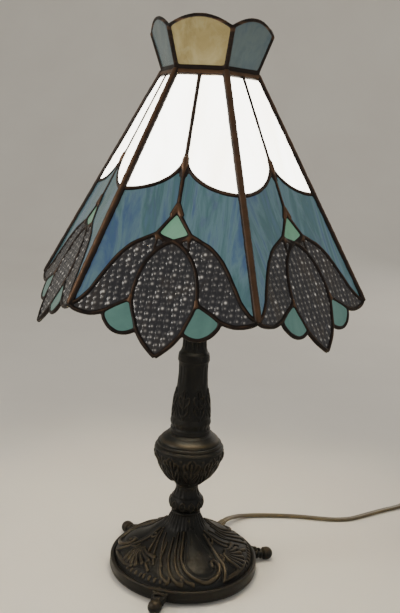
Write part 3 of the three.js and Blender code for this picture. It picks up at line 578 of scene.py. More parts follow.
def strain_relief():
    """Tapering bushing where the cord leaves the base, ringed on its outer half."""
    rows = [(70.5, 4.4), (72, 6.2), (73, 6.9), (74.6, 6.9), (75.4, 6.2), (76, 5.3), (84, 5.1)]
    for k in range(5):
        r = 84.5 + k * 3
        taper = 5.0 - 0.16 * k
        rows += [(r, taper), (r + 0.3, taper - 0.75), (r + 1.0, taper - 0.75), (r + 1.4, taper)]
    rows += [(100.4, 4.25), (101.0, 3.9)]
    out = np.array((math.cos(EXIT_TURN), math.sin(EXIT_TURN), 0))
    side = np.array((-out[1], out[0], 0))
    rings = []
    for r, radius in rows:
        squash = 1 if r < 84 else 1 - 0.26 * (r - 84) / 17
        rings.append([out * r + side * radius * math.cos(a) + (0, 0, EXIT_Z + radius * squash * math.sin(a))
                      for a in angles(24)])
    verts, faces = loft(rings)
    piece("strain_relief", from_lists("strain_relief", to_metres(verts), faces), MATERIAL["cord"],
          ["cord_bushing"])


strain_relief()


# ---------------------------------------------------------------- shade

NECK_Z = 520.0
NECK_CORNER_R = 46.65
SHADE_CORNER_R = 165
SHADE_H = 206.1
PANEL_RUN = 102.5
NECK_APOTHEM = NECK_CORNER_R * math.cos(math.pi / 6)
PANEL_PITCH = math.atan2(SHADE_H, PANEL_RUN)
CROWN_PITCH = math.radians(107.9)
SLANT = 230.2
HALF_NECK, HALF_BOTTOM = NECK_CORNER_R / 2, SHADE_CORNER_R / 2
CROWN_SLANT, CROWN_HALF, CROWN_PEAK = 36.25, 29.75, 10.5
GLASS_T = 3.0
CUSP = 0.372 * SLANT
SCALLOP = 0.527 * SLANT


def side_matrix(side, pitch):
    """Panel frame: x across, y along the slope (down the panel, up the crown), z outward."""
    return (Matrix.Rotation((side - 1) * math.pi / 3, 4, "Z")
            @ Matrix.Translation((0, -NECK_APOTHEM * MM, NECK_Z * MM))
            @ Matrix.Rotation(pitch, 4, "X"))


def rib_at(d):
    return HALF_NECK + d * (HALF_BOTTOM - HALF_NECK) / SLANT


def scallop_line():
    reach = rib_at(SCALLOP)
    return [(reach * (1 - math.cos(a)), CUSP + (SCALLOP - CUSP) * math.sin(a))
            for a in np.linspace(0, math.pi / 2, 22)]


RIB_TOP, RIB_MID, CORNER = (rib_at(6), 6), (rib_at(SCALLOP), SCALLOP), (HALF_BOTTOM, 231)
PETAL_TOP = [tuple(p) for p in smooth_line([
    (15, 161), (25.4, 166.3), (34.4, 171.4), (42.6, 179.1), (49.3, 188), (55.4, 198), (61, 208),
    (66.5, 217.5), (75, 227), (HALF_BOTTOM, 231)], 2)]
PETAL_LOW = [tuple(p) for p in smooth_line([
    (HALF_BOTTOM, 231), (77.8, 234.5), (68, 237), (60, 237), (50.5, 234), (44.4, 230.2), (37.7, 226.3),
    (29.5, 221.8)], 2)]
CENTRE = [tuple(p) for p in smooth_line([
    (0, 167), (8, 171.5), (14, 177), (19.5, 184.5), (23.6, 193), (26.5, 203.5), (28, 213), (28.3, 221.5),
    (26, 230.5), (22.3, 240), (19.2, 248), (12.5, 257.5), (4, 266), (0, 269)], 2)]
CENTRE_SIDE = [p for p in CENTRE if p[1] <= 222.2]
DROP_SIDE = [p for p in CENTRE if 222.2 < p[1] <= 248.6]
DROP_OUT = [tuple(p) for p in smooth_line([
    (50.5, 234), (50.4, 238), (48.5, 241.8), (43.5, 247.5), (36, 251.3), (28, 251.2), (20.5, 248)], 2)]
DROP_TOP = [p for p in PETAL_LOW if p[0] <= 51]
TRIANGLE = [(0, 140.5), (15, 161), (9.5, 163.2), (0, 167)]


def joined(*lines):
    out = []
    for line in lines:
        for p in line:
            if not out or math.dist(out[-1], p) > 0.25:
                out.append(tuple(p))
    if math.dist(out[0], out[-1]) <= 0.25:
        out.pop()
    return out


OUTLINE = {
    "white": joined([(0, 6), RIB_TOP, RIB_MID], reversed(scallop_line())),
    "blue": joined(scallop_line(), [CORNER], reversed(PETAL_TOP), [(0, 138)]),
    "petal": joined([(0, 167), (9.5, 163.2)], PETAL_TOP, PETAL_LOW, reversed(CENTRE_SIDE)),
    "drop": joined([(28.3, 221.8)], reversed(DROP_TOP), DROP_OUT, reversed(DROP_SIDE)),
}
LENGTHWISE = {
    "triangle": joined(TRIANGLE, [(-x, y) for x, y in reversed(TRIANGLE)]),
    "petal_centre": joined(CENTRE, [(-x, y) for x, y in reversed(CENTRE)]),
}


def inset(outline, by):
    p = np.array(outline, float)
    after, before = np.roll(p, -1, 0) - p, p - np.roll(p, 1, 0)
    after /= np.maximum(np.linalg.norm(after, axis=1), 1e-9)[:, None]
    before /= np.maximum(np.linalg.norm(before, axis=1), 1e-9)[:, None]
    area = 0.5 * np.sum(p[:, 0] * np.roll(p[:, 1], -1) - np.roll(p[:, 0], -1) * p[:, 1])
    way = 1 if area > 0 else -1
    inward = np.stack([-(after + before)[:, 1], (after + before)[:, 0]], 1) * way
    size = np.linalg.norm(inward, axis=1)
    inward /= np.maximum(size, 0.4)[:, None]
    return p + inward * by


def inside(points, polygon):
    x, y = points[:, 0], points[:, 1]
    hit = np.zeros(len(points), bool)
    a, b = polygon, np.roll(polygon, -1, 0)
    for (x0, y0), (x1, y1) in zip(a, b):
        crosses = (y0 > y) != (y1 > y)
        with np.errstate(divide="ignore", invalid="ignore"):
            hit ^= crosses & (x < (x1 - x0) * (y - y0) / (y1 - y0) + x0)
    return hit


def line_distance(p, line):
    """Distance from points to a polyline, and the share of the way along it."""
    line = np.array(line, float)
    best, along = np.full(len(p), 1e9), np.zeros(len(p))
    total = max(len(line) - 1, 1)
    for i, (a, b) in enumerate(zip(line[:-1], line[1:])):
        ab = b - a
        t = np.clip(((p - a) @ ab) / max(ab @ ab, 1e-9), 0, 1)
        d = np.linalg.norm(p - (a + t[:, None] * ab), axis=1)
        near = d < best
        best = np.where(near, d, best)
        along = np.where(near, (i + t) / total, along)
    return best, along


def edge_distance(points, polygon):
    return line_distance(points, np.vstack([polygon, polygon[:1]]))[0]


def cell_random(i, j, key):
    """Repeatable number from 0 to 1 for a cell of the dimple pattern."""
    value = np.sin(i * 127.1 + j * 311.7 + key * 74.7) * 43758.5453
    return value - np.floor(value)


def dimples(p):
    """Staggered round dimples, no two quite alike, at points in millimetres: their height and two painted
    highlights, a bright glint dot and a ring lit on one side.
    """
    pitch, row = 11.8, 10.2
    height, painted_glint, ring = np.zeros(len(p)), np.zeros(len(p)), np.zeros(len(p))
    for key, (dx, dy, size) in enumerate(((0, 0, 1.15), (pitch / 2, row / 2, 0.8), (0, row / 2, 0.8),
                                          (pitch / 2, 0, 0.8))):
        j = np.round((p[:, 1] - 4 - dy) / row)
        shift = np.where(j % 2 == 0, 0, pitch / 2)
        i = np.round((p[:, 0] - dx - shift) / pitch)
        x = p[:, 0] - dx - shift - i * pitch - 1.1 * (cell_random(i, j, key) - 0.5)
        y = p[:, 1] - 4 - dy - j * row - 1.1 * (cell_random(i, j, key + 9) - 0.5)
        r = np.hypot(x, y) / size
        bright = 0.15 + 0.85 * cell_random(i, j, key + 20) ** 1.6
        height = np.maximum(height, (0.55 + 0.45 * bright) * size
                            * np.clip(1 - (r / 3.0) ** 2, 0, 1) ** 0.7)
        # Painted highlight: a glint dot set off the dimple's centre, stronger in some cells than others.
        spot = np.hypot(x - 0.5 * size, y + 0.6 * size) / size
        painted_glint = np.maximum(painted_glint, bright * size**1.5 * np.exp(-(spot / 0.85) ** 2))
        # Painted highlight: a ring round the dimple, lit on one side and faint on the other.
        side = 0.35 + 0.65 * np.clip(-(x + y) / np.maximum(r, 0.3) / 1.4, 0, 1)
        ring = np.maximum(ring, side * bright * np.exp(-((r - 2.6) / 0.42) ** 2))
    return height, np.clip(painted_glint, 0, 1), np.clip(ring, 0, 1)


def pane_mesh(name, outline, step, tone, seed, relief=None, flip=False):
    """One cut glass: gently uneven face, ground edge and flat back, closed."""
    rim = inset(resampled(np.vstack([outline, outline[:1]]), min(step, 2.0))[:-1], 0.45)
    low, high = rim.min(0), rim.max(0)
    xs = np.arange(low[0], high[0], step)
    ys = np.arange(low[1], high[1], step)
    grid = np.stack(np.meshgrid(xs, ys), -1).reshape(-1, 2)
    grid[:, 0] += (np.round((grid[:, 1] - low[1]) / step) % 2) * step / 2
    grid = grid[inside(grid, rim)]
    grid = grid[edge_distance(grid, rim) > 0.55 * step]
    points = np.vstack([rim, grid])
    n = len(rim)
    edges = [(i, (i + 1) % n) for i in range(n)]
    verts, _, tris, _, _, _ = delaunay_2d_cdt([Vector(p) for p in points], edges, [], 1, 1e-4)
    flat = np.array([tuple(v) for v in verts])
    tris = [tuple(t) for t in tris]
    edge = edge_distance(flat, rim)
    generator = np.random.default_rng(seed)
    phase = generator.uniform(0, TURN, 6)
    wave = (0.14 * np.sin(flat[:, 0] / 7.0 + phase[0] + 0.6 * np.sin(flat[:, 1] / 19 + phase[1]))
            + 0.12 * np.sin(flat[:, 1] / 11.0 + phase[2])
            + 0.07 * np.sin((flat[:, 0] + flat[:, 1]) / 4.0 + phase[3]))
    z = wave * np.clip(edge / 3, 0, 1) - 0.35 * np.exp(-((edge / 0.7) ** 2))
    painted_glint = ring = np.zeros(len(flat))
    if relief is not None:
        height, painted_glint, ring = relief(flat)
        fade = np.clip((edge - 1.2) / 1.5, 0, 1)
        z = z - 0.5 + height * fade
        painted_glint, ring = painted_glint * fade, ring * fade
    if flip:
        flat = flat * (-1, 1)
    count = len(flat)
    sides = dict.fromkeys((a, b) for t in tris for a, b in zip(t, t[1:] + t[:1]))
    open_edges = [(a, b) for a, b in sides if (b, a) not in sides]
    # y runs up the slope in the panel frame, and the pattern is measured down it
    top = np.column_stack([flat[:, 0], -flat[:, 1], z])
    bottom = np.column_stack([flat[:, 0], -flat[:, 1], np.full(count, -GLASS_T)])
    faces = list(tris) + [tuple(count + i for i in reversed(t)) for t in tris]
    faces += [(b, a, count + a, count + b) for a, b in open_edges]
    mesh = closed_mesh(name, np.vstack([top, bottom]), faces)
    # Painted highlights of the dimples, on the face only: glint dots and lit rings.
    float_layer(mesh, "painted_glint", np.concatenate([painted_glint, painted_glint * 0]))
    float_layer(mesh, "ring", np.concatenate([ring, ring * 0]))
    float_layer(mesh, "tone", np.full(2 * count, tone))
    return mesh


def place_pane(name, mesh, side, pitch, material, nodes):
    """A pane keeps its panel's own axes, so the streaks in its glass run along the slope."""
    layer = mesh.attributes.new("panel", "FLOAT_VECTOR", "POINT")
    layer.data.foreach_set("vector", co_of(mesh).astype(np.float32).ravel())
    mesh.transform(side_matrix(side, pitch))
    piece(name, mesh, material, nodes, "shade")
    mesh.set_sharp_from_angle(angle=math.radians(50))


PANES = [
    ("white_right", "white", "white", 4, False, "white_glass", "white_glass"),
    ("white_left", "white", "white", 4, True, "white_glass", "white_glass"),
    ("blue_right", "blue", "blue", 4, False, "blue_glass", "blue_glass"),
    ("blue_left", "blue", "blue", 4, True, "blue_glass", "blue_glass"),
    ("petal_right", "petal", "purple", 0.8, False, "purple_glass", "flower_glass"),
    ("petal_left", "petal", "purple", 0.8, True, "purple_glass", "flower_glass"),
    ("petal_centre", "petal_centre", "purple", 0.8, False, "purple_glass", "flower_glass"),
    ("drop_right", "drop", "teal", 3, False, "blue_glass", "flower_glass"),
    ("drop_left", "drop", "teal", 3, True, "blue_glass", "flower_glass"),
    ("triangle", "triangle", "mint", 3, False, "blue_glass", "flower_glass"),
]
random_tone = np.random.default_rng(11)


def shifted(material, seed):
    """The same glass cut from another part of its sheet."""
    copy = material.copy()
    for node in copy.node_tree.nodes:
        if node.type == "MAPPING":
            node.inputs["Location"].default_value = (seed * 1.37, seed * 2.11, seed * 0.73)
    return copy


for side in range(1, 7):
    for label, outline, glass_name, step, flip, slot, node in PANES:
        shape = OUTLINE.get(outline) or LENGTHWISE[outline]
        seed = side * 31 + len(label)
        mesh = pane_mesh(f"{label}_{side}", np.array(shape), step,
                         random_tone.uniform(0.9, 1.0), seed, dimples if glass_name == "purple" else None,
                         flip)
        place_pane(f"{label}_{side}", mesh, side, PANEL_PITCH, shifted(GLASS[glass_name], seed % 17 + side),
                   [f"{node}_{side}"])


def crown_outline():
    half = [(HALF_NECK, 2.0), (CROWN_HALF, CROWN_SLANT)]
    arch = []
    for t in np.linspace(0, 1, 16):
        x = CROWN_HALF * (1 - 2 * t)
        y = CROWN_SLANT + 4 * CROWN_PEAK * t * (1 - t)
        arch.append((x, y))
    return [(-HALF_NECK, 2.0)] + half + arch[1:]


for side in range(1, 7):
    kind = "cream" if side % 2 else "grey"
    outline = np.array([(x, -y) for x, y in crown_outline()])
    mesh = pane_mesh(f"crown_{side}", outline, 3, random_tone.uniform(0.92, 1.0), 400 + side)
    place_pane(f"crown_pane_{side}", mesh, side, CROWN_PITCH, shifted(GLASS[kind], side * 2.3),
               [f"crown_glass_{side}"])


# Solder: beads of uneven width over every joint between two glasses.

MID = -GLASS_T / 2 + 0.25


def bead(points, radius, seed):
    line = resampled(points, 1.6)
    generator = np.random.default_rng(seed)
    knots = generator.uniform(-1, 1, len(line) // 4 + 3)
    wobble = np.interp(np.arange(len(line)), np.arange(len(knots)) * 4, knots)
    if callable(radius):
        size = np.array([radius(i / (len(line) - 1)) for i in range(len(line))])
    else:
        size = np.full(len(line), float(radius))
    path = np.column_stack([line[:, 0], -line[:, 1], np.full(len(line), MID)])
    return swept(path, circle(1.0, 12), scale=size * (1 + 0.06 * wobble))


def mirrored_line(points):
    return [(-x, y) for x, y in points]


def panel_solder():
    """All beads of one panel in the panel frame, before they are run together."""
    both = [
        (scallop_line(), 2.25), (PETAL_TOP, 2.2), (PETAL_LOW, 2.15), (DROP_OUT, 2.0), (CENTRE, 2.15),
        ([(0, 139), (7.5, 150), (15, 161)], 2.3), ([(15, 161), (9.5, 163.4), (0, 167)], 1.9),
    ]
    parts = []
    for index, (line, radius) in enumerate(both):
        parts.append(bead(line, radius, index))
        parts.append(bead(mirrored_line(line), radius, index + 50))
    parts.append(bead([(0, 3), (0, CUSP + 2)], 2.25, 90))
    parts.append(bead([(0, CUSP - 1), (0, 139)], lambda t: 2.3 + 1.2 * math.exp(-((t - 0.17) / 0.11) ** 2),
                      91))
    for way in (1, -1):
        web = [(x * way, d) for x, d in scallop_line() if d < 106]
        low = [(x * 0.5, d + 3.2) for x, d in web]
        parts.append(bead(low, lambda t: 2.6 * (1 - t) + 1.0, 92))
        parts.append(bead([(0, 134), (way * 4.5, 144)], 3.0, 93))
        parts.append(bead([(way * 14.5, 163), (way * 10.5, 166), (way * 5, 168)], lambda t: 2.7 - 1.0 * t,
                          94))
        parts.append(bead([(way * 14.5, 163), (way * 14, 169), (way * 16.5, 176)], lambda t: 2.7 - 1.5 * t,
                          97))
        parts.append(bead([(way * 28.4, 218), (way * 29.2, 225)], 2.6, 95))
    parts.append(bead([(-HALF_NECK, 2.6), (HALF_NECK, 2.6)], 3.1, 96))
    return merged(parts)


def run_together(name, verts, faces, voxel, smooth=5):
    """One closed skin over overlapping closed parts."""
    obj = placed(name + "_raw", from_lists(name + "_raw", to_metres(verts), faces))
    remesh = obj.modifiers.new("remesh", "REMESH")
    remesh.mode = "VOXEL"
    remesh.voxel_size = voxel * MM
    ease_it = obj.modifiers.new("smooth", "SMOOTH")
    ease_it.factor = 0.5
    ease_it.iterations = smooth
    graph = bpy.context.evaluated_depsgraph_get()
    mesh = bpy.data.meshes.new_from_object(obj.evaluated_get(graph))
    mesh.name = name
    old = obj.data
    bpy.data.objects.remove(obj)
    bpy.data.meshes.remove(old)
    return mesh


def solder_wear(mesh, local_z):
    """Bright along the crest of each bead, dark towards the glass."""
    crest = np.clip((local_z / MM - 0.35) / 0.75, 0, 1)
    add_wear_and_highlight(mesh, 0.2 + 0.8 * crest)


solder_verts, solder_faces = panel_solder()
panel_skin = run_together("panel_solder", solder_verts, solder_faces, 0.8)
solder_wear(panel_skin, co_of(panel_skin)[:, 2])
for side in range(1, 7):
    skin = panel_skin.copy()
    skin.name = f"came_{side}"
    place_pane(f"came_{side}", skin, side, PANEL_PITCH, MATERIAL["solder"],
               [f"panel_frame_{side}"])


def panel_point(side, u, d, z=MID, pitch=PANEL_PITCH, up=False):
    return np.array(side_matrix(side, pitch) @ Vector((u * MM, (d if up else -d) * MM, z * MM))) / MM


def corner_ribs():
    """Thick beads down the six corners, from the neck to the bottom corners."""
    parts = []
    for side in range(1, 7):
        top, low = panel_point(side, HALF_NECK, 0), panel_point(side, HALF_BOTTOM, 232.5)
        line = resampled([top, low], 2.2)
        generator = np.random.default_rng(side)
        size = 3.7 * (1 + 0.05 * generator.uniform(-1, 1, len(line)))
        size[-2:] *= 0.9
        parts.append(swept(line, circle(1.0, 12), scale=size))
    return merged(parts)


def shade_piece(name, verts, faces, voxel, nodes):
    mesh = run_together(name, verts, faces, voxel)
    piece(name, mesh, MATERIAL["solder"], nodes, "shade")
    return mesh


rib_verts, rib_faces = corner_ribs()
rib_mesh = shade_piece("corner_ribs", rib_verts, rib_faces, 1.1, [])
co = co_of(rib_mesh) / MM
angle = np.arctan2(co[:, 1], co[:, 0])
sector = math.pi / 3
nearest = np.round((angle - sector) / sector) * sector + sector
radial = np.hypot(co[:, 0], co[:, 1]) * np.cos(angle - nearest)
edge_r = NECK_CORNER_R + (NECK_Z - co[:, 2]) * (SHADE_CORNER_R - NECK_CORNER_R) / SHADE_H
add_wear_and_highlight(rib_mesh, np.clip((radial - edge_r + 1.6) / 4.0, 0, 1) * 0.9 + 0.05)


def crown_solder():
    parts = []
    for side in range(1, 7):
        top = panel_point(side, CROWN_HALF, CROWN_SLANT, pitch=CROWN_PITCH, up=True)
        arch = [panel_point(side, x, y, pitch=CROWN_PITCH, up=True) for x, y in crown_outline()[2:]]
        parts.append(swept(resampled([top] + arch, 2.0), circle(1.9, 10)))
        rib = resampled([panel_point(side, HALF_NECK, 0, pitch=CROWN_PITCH, up=True), top], 2.0)
        parts.append(swept(rib, circle(2.45, 10)))
        foot_line = resampled([panel_point(side, way * HALF_NECK, 2.3, pitch=CROWN_PITCH, up=True)
                               for way in (1, -1)], 2.0)
        parts.append(swept(foot_line, circle(1.9, 10)))
    corners = []
    for side in range(1, 7):
        a = (side - 1) * math.pi / 3 - math.pi / 2 - math.pi / 6
        corners.append(np.array((46.2 * math.cos(a), 46.2 * math.sin(a), NECK_Z)))
    for k in range(6):
        a, b = corners[k], corners[(k + 1) % 6]
        parts.append(swept(resampled([a, b], 2.0), circle(2.5, 12)))
        parts.append(swept([a - (0, 0, 1.4), a + (0, 0, 1.4)], circle(2.5, 12), up=(1, 0, 0)))
    return merged(parts)


crown_verts, crown_faces = crown_solder()
crown_mesh = shade_piece("crown_came", crown_verts, crown_faces, 0.9, ["crown_frame"])
crown_z = co_of(crown_mesh)[:, 2] / MM
add_wear_and_highlight(crown_mesh, np.clip(0.35 + 0.25 * np.sin(crown_z * 0.9) + (crown_z > 548) * 0.25, 0, 1))


# ---------------------------------------------------------------- cast stem and base

def raised(p, items):
    """Height of round-topped strokes: each item is (points, start radius, end radius, height)."""
    height = np.zeros(len(p))
    for line, start, end, lift in items:
        if len(line) > 2:
            line = smooth_line(line, 1.5)
        low, high = np.min(line, 0) - 6, np.max(line, 0) + 6
        close = np.all((p >= low) & (p <= high), axis=1)
        if not close.any():
            continue
        d, t = line_distance(p[close], line)
        radius = start + (end - start) * t
        ridge = lift * np.sqrt(np.clip(1 - (d / np.maximum(radius, 0.2)) ** 2, 0, 1))
        dip = -0.28 * lift * np.exp(-((d / np.maximum(radius, 0.2) - 1.35) / 0.3) ** 2)
        local = height[close]
        height[close] = np.where(ridge > 0, np.maximum(local, ridge),
                                 np.minimum(local, np.maximum(dip, -0.5)) * (local <= 0)
                                 + local * (local > 0))
    return height


def ridge(z, at, width):
    """Turned ring of height 1 at one level."""
    return np.exp(-((z - at) / width) ** 2)


def profile_rows(points, step):
    return resampled(smooth_line(points, step / 3), step)


def lathe(name, outer, inner, turns, relief, node, wear_gain=0.45, base_wear=0.15):
    """Turned casting with relief on its outside. The inner rows close it round its bore."""
    outer, inner = np.array(outer, float), np.array(inner, float)
    tangent = np.gradient(outer, axis=0)
    tangent /= np.linalg.norm(tangent, axis=1)[:, None]
    normal = np.column_stack([tangent[:, 1], -tangent[:, 0]])
    theta = np.linspace(0, TURN, turns, endpoint=False)
    height = relief(theta, outer)
    fade = np.clip(np.minimum(np.arange(len(outer)), np.arange(len(outer))[::-1]) / 2, 0, 1)[:, None]
    height = height * fade
    r = outer[:, :1] + normal[:, :1] * height
    z = outer[:, 1:] + normal[:, 1:] * height
    shell = np.stack([r * np.cos(theta), r * np.sin(theta), z], -1)
    hole = np.stack([inner[:, :1] * np.cos(theta), inner[:, :1] * np.sin(theta),
                     np.broadcast_to(inner[:, 1:], (len(inner), turns))], -1)
    rows = np.concatenate([shell, hole])
    count = len(rows)
    index = np.arange(count * turns).reshape(count, turns)
    a, b = index, np.roll(index, -1, axis=1)
    c, d = np.roll(b, -1, axis=0), np.roll(a, -1, axis=0)
    faces = np.stack([a, b, c, d], -1).reshape(-1, 4)
    mesh = from_lists(name, to_metres(rows.reshape(-1, 3)), faces)
    piece(name, mesh, MATERIAL["bronze"], [node])
    mesh.set_sharp_from_angle(angle=math.radians(62))
    blurred = height.copy()
    for axis in (0, 1):
        for _ in range(6):
            blurred = (np.roll(blurred, 1, axis) + blurred + np.roll(blurred, -1, axis)) / 3
    crest = np.clip((height - blurred) / 0.5, -1, 1)
    wear_and_highlight = base_wear + wear_gain * np.clip(crest, 0, 1) + 0.22 * np.clip(height / 1.5, -1, 1)
    convex = np.clip(np.gradient(np.arctan2(normal[:, 1], normal[:, 0])) * 2.0, 0, 0.45)[:, None]
    wear_and_highlight = np.clip(wear_and_highlight + convex, 0, 1.1)
    add_wear_and_highlight(mesh, np.concatenate([wear_and_highlight.ravel(), np.full(len(inner) * turns, 0.1)]))
    return mesh


def bored(outline, radius=5.5):
    return [(radius, outline[-1][1]), (radius, outline[0][1])]


def shares(points, height, base):
    return [(r, base + s * height) for r, s in points]


FINE = 1.0
STEM_TURNS = int(300 / FINE)


def around(theta, repeats, radius):
    """Offset across one repeat of a pattern, in millimetres at that radius."""
    period = TURN / repeats
    return ((theta + period / 2) % period - period / 2) * radius


def repeated(theta, outer, repeats, radius, items, low, high, shift=0.0):
    """Height field of strokes drawn as (across, z), repeated round the stem between two heights."""
    x = around(theta + shift, repeats, radius)
    rows = (outer[:, 1] >= low) & (outer[:, 1] <= high)
    field = np.zeros((len(outer), len(theta)))
    if rows.any():
        grid = np.stack(np.meshgrid(x, outer[rows, 1]), -1).reshape(-1, 2)
        field[rows] = raised(grid, items).reshape(rows.sum(), -1)
    return field


def both_sides(items):
    return items + [([(-x, y) for x, y in line], a, b, h) for line, a, b, h in items]


COLUMN = shares([
    (21.2, 0), (20.9, .035), (19.6, .05), (20.4, .075), (21, .1), (19.6, .19), (18.6, .28), (16.9, .35),
    (15.2, .47), (15.1, .56), (16.4, .63), (14.9, .67), (12.4, .72), (11.9, .78), (12.8, .88), (15.5, .97),
    (15.5, 1)], 128.5, 156.5)


def column_relief(theta, outer):
    leaf = both_sides([
        ([(0.5, 177), (3.8, 182), (4.6, 187.5), (3.0, 190.5), (2.4, 188)], 1.2, 0.8, 1.0),
        ([(0.5, 186), (4.4, 190.5), (6.0, 195.5), (4.4, 199), (3.2, 196.8)], 1.1, 0.7, 1.0),
        ([(0.4, 194), (2.6, 198), (3.2, 202), (1.4, 204.6)], 0.9, 0.6, 0.8),
        ([(6.4, 178), (7.4, 183), (6.6, 188)], 0.9, 0.7, 0.6),
    ]) + [([(0, 175), (0, 190), (0, 203)], 1.4, 0.6, 1.0)]
    field = repeated(theta, outer, 7, 18.2, leaf, 172, 207)
    z = outer[:, 1][:, None]
    tongues = np.abs(np.sin(11 * theta))[None, :] ** 0.7 * 0.45
    field += tongues * ramp_between(z, 160, 163) * (1 - ramp_between(z, 168, 172))
    folds = (np.cos(7 * theta) * 0.35 + np.cos(21 * theta) * 0.12)[None, :]
    field += folds * ramp_between(z, 208, 214) * (1 - ramp_between(z, 228, 232))
    flutes = (np.abs(np.sin(9 * theta)) ** 0.55 - 0.6)[None, :]
    field += flutes * 1.25 * ramp_between(z, 247, 251) * (1 - ramp_between(z, 280, 283))
    for ring in (234.6, 241.4):
        field += 0.55 * ridge(z, ring, 0.9)
    for ring in (159.4, 173.8, 244.6):
        field -= 0.4 * ridge(z, ring, 0.7)
    return field


def ramp_between(value, low, high):
    t = np.clip((value - low) / (high - low), 0, 1)
    return t * t * (3 - 2 * t)


def cast(name, profile, relief, node):
    rows = profile_rows(profile, 0.8 * FINE)
    return lathe(name, rows, bored(rows), STEM_TURNS, relief, node)


cast("stem_column", COLUMN, column_relief, "column")

CAP = shares([(33.9, 0), (33.6, .12), (33, .2), (31, .42), (29.5, .55), (26.5, .72), (23.5, .9), (21.5, 1)],
             13.3, 142.9)


def cap_relief(theta, outer):
    z = outer[:, 1][:, None]
    field = 0.55 * ridge(z, 145.2, 0.65) - 0.5 * ridge(z, 146.6, 0.5)
    return field + 0.4 * ridge(z, 154.4, 0.5) + 0 * theta[None, :]


urn_cap = cast("stem_urn_cap", CAP, cap_relief, "urn_cap")
cap_z = co_of(urn_cap)[:, 2] / MM
# Painted highlight: the band round the cap's upper slope. The narrow ring lower down is rubbed wear.
add_wear_and_highlight(urn_cap, 0.5 + 0.4 * ridge(cap_z, 149.5, 1.8) + 0.3 * ridge(cap_z, 144.6, 0.6))

URN = shares([
    (12.6, 0), (13.6, .03), (14, .08), (16.4, .115), (20, .17), (25, .29), (30.5, .48), (32.8, .63),
    (34.6, .7), (35.8, .76), (36.5, .87), (35.5, .98), (34, 1)], 45.1, 97.5)


def urn_relief(theta, outer):
    lobes = both_sides([
        ([(0.8, 106), (4.6, 112), (6.4, 119), (5.0, 124), (3.2, 121.6)], 1.5, 1.0, 1.3),
        ([(0.8, 114), (4.0, 120), (6.6, 127), (6.2, 132.4), (3.8, 133.8), (3.8, 130.6)], 1.4, 0.9, 1.3),
        ([(0.8, 122), (2.8, 128), (2.8, 134.6), (0.8, 137.4)], 1.1, 0.8, 1.0),
        ([(8.2, 108), (8.6, 118), (8.8, 128), (8.6, 136)], 0.9, 1.3, 0.8),
    ]) + [([(0, 104), (0, 116), (0, 134)], 1.6, 0.8, 1.5)]
    field = repeated(theta, outer, 10, 28, lobes, 101, 139)
    z = outer[:, 1][:, None]
    for ring, lift in ((140.4, 0.5), (101.2, 0.6)):
        field += lift * ridge(z, ring, 0.7)
    return field - 0.45 * ridge(z, 138.8, 0.45)


cast("stem_urn", URN, urn_relief, "urn")

SPOOL = shares([(14.3, 0), (16, .05), (17.4, .16), (18.3, .31), (17.2, .46), (13.6, .64), (11.9, .8),
                (11.9, .88), (12.3, 1)], 28.7, 68.5)


def spool_relief(theta, outer):
    z = outer[:, 1][:, None]
    petals = both_sides([([(0.2, 72.2), (2.6, 74.6), (2.4, 79), (0.2, 81.6)], 0.9, 0.7, 0.7)])
    field = repeated(theta, outer, 12, 17, petals, 70, 83.5)
    field += np.cos(16 * theta)[None, :] * 0.35 * ramp_between(z, 85, 87) * (1 - ramp_between(z, 93, 95))
    return field + 0.45 * ridge(z, 84, 0.6) - 0.4 * ridge(z, 70.6, 0.5)


cast("stem_spool", SPOOL, spool_relief, "spool")

RIM_R, BASE_H = 79.2, 68.2
FOOT_AT = math.radians(-93.4)
BASE_OUTER = [(78.6, 3.5), (79.2, 5), (79.2, 9), (79.2, 13.2), (79.0, 15.2), (77.6, 16.1), (75.6, 15.9),
              (74.2, 14.9), (73.2, 17.2), (72.4, 18.9)] + [(r * RIM_R, z * BASE_H) for r, z in (
                  (.87, .325), (.82, .367), (.757, .405), (.694, .44), (.63, .472), (.564, .506),
                  (.484, .562), (.404, .638), (.34, .695), (.288, .748), (.248, .81), (.225, .865),
                  (.205, .91), (.197, .938), (.19, .97), (.186, 1))]
CARTOUCHE_AT = math.radians(37)


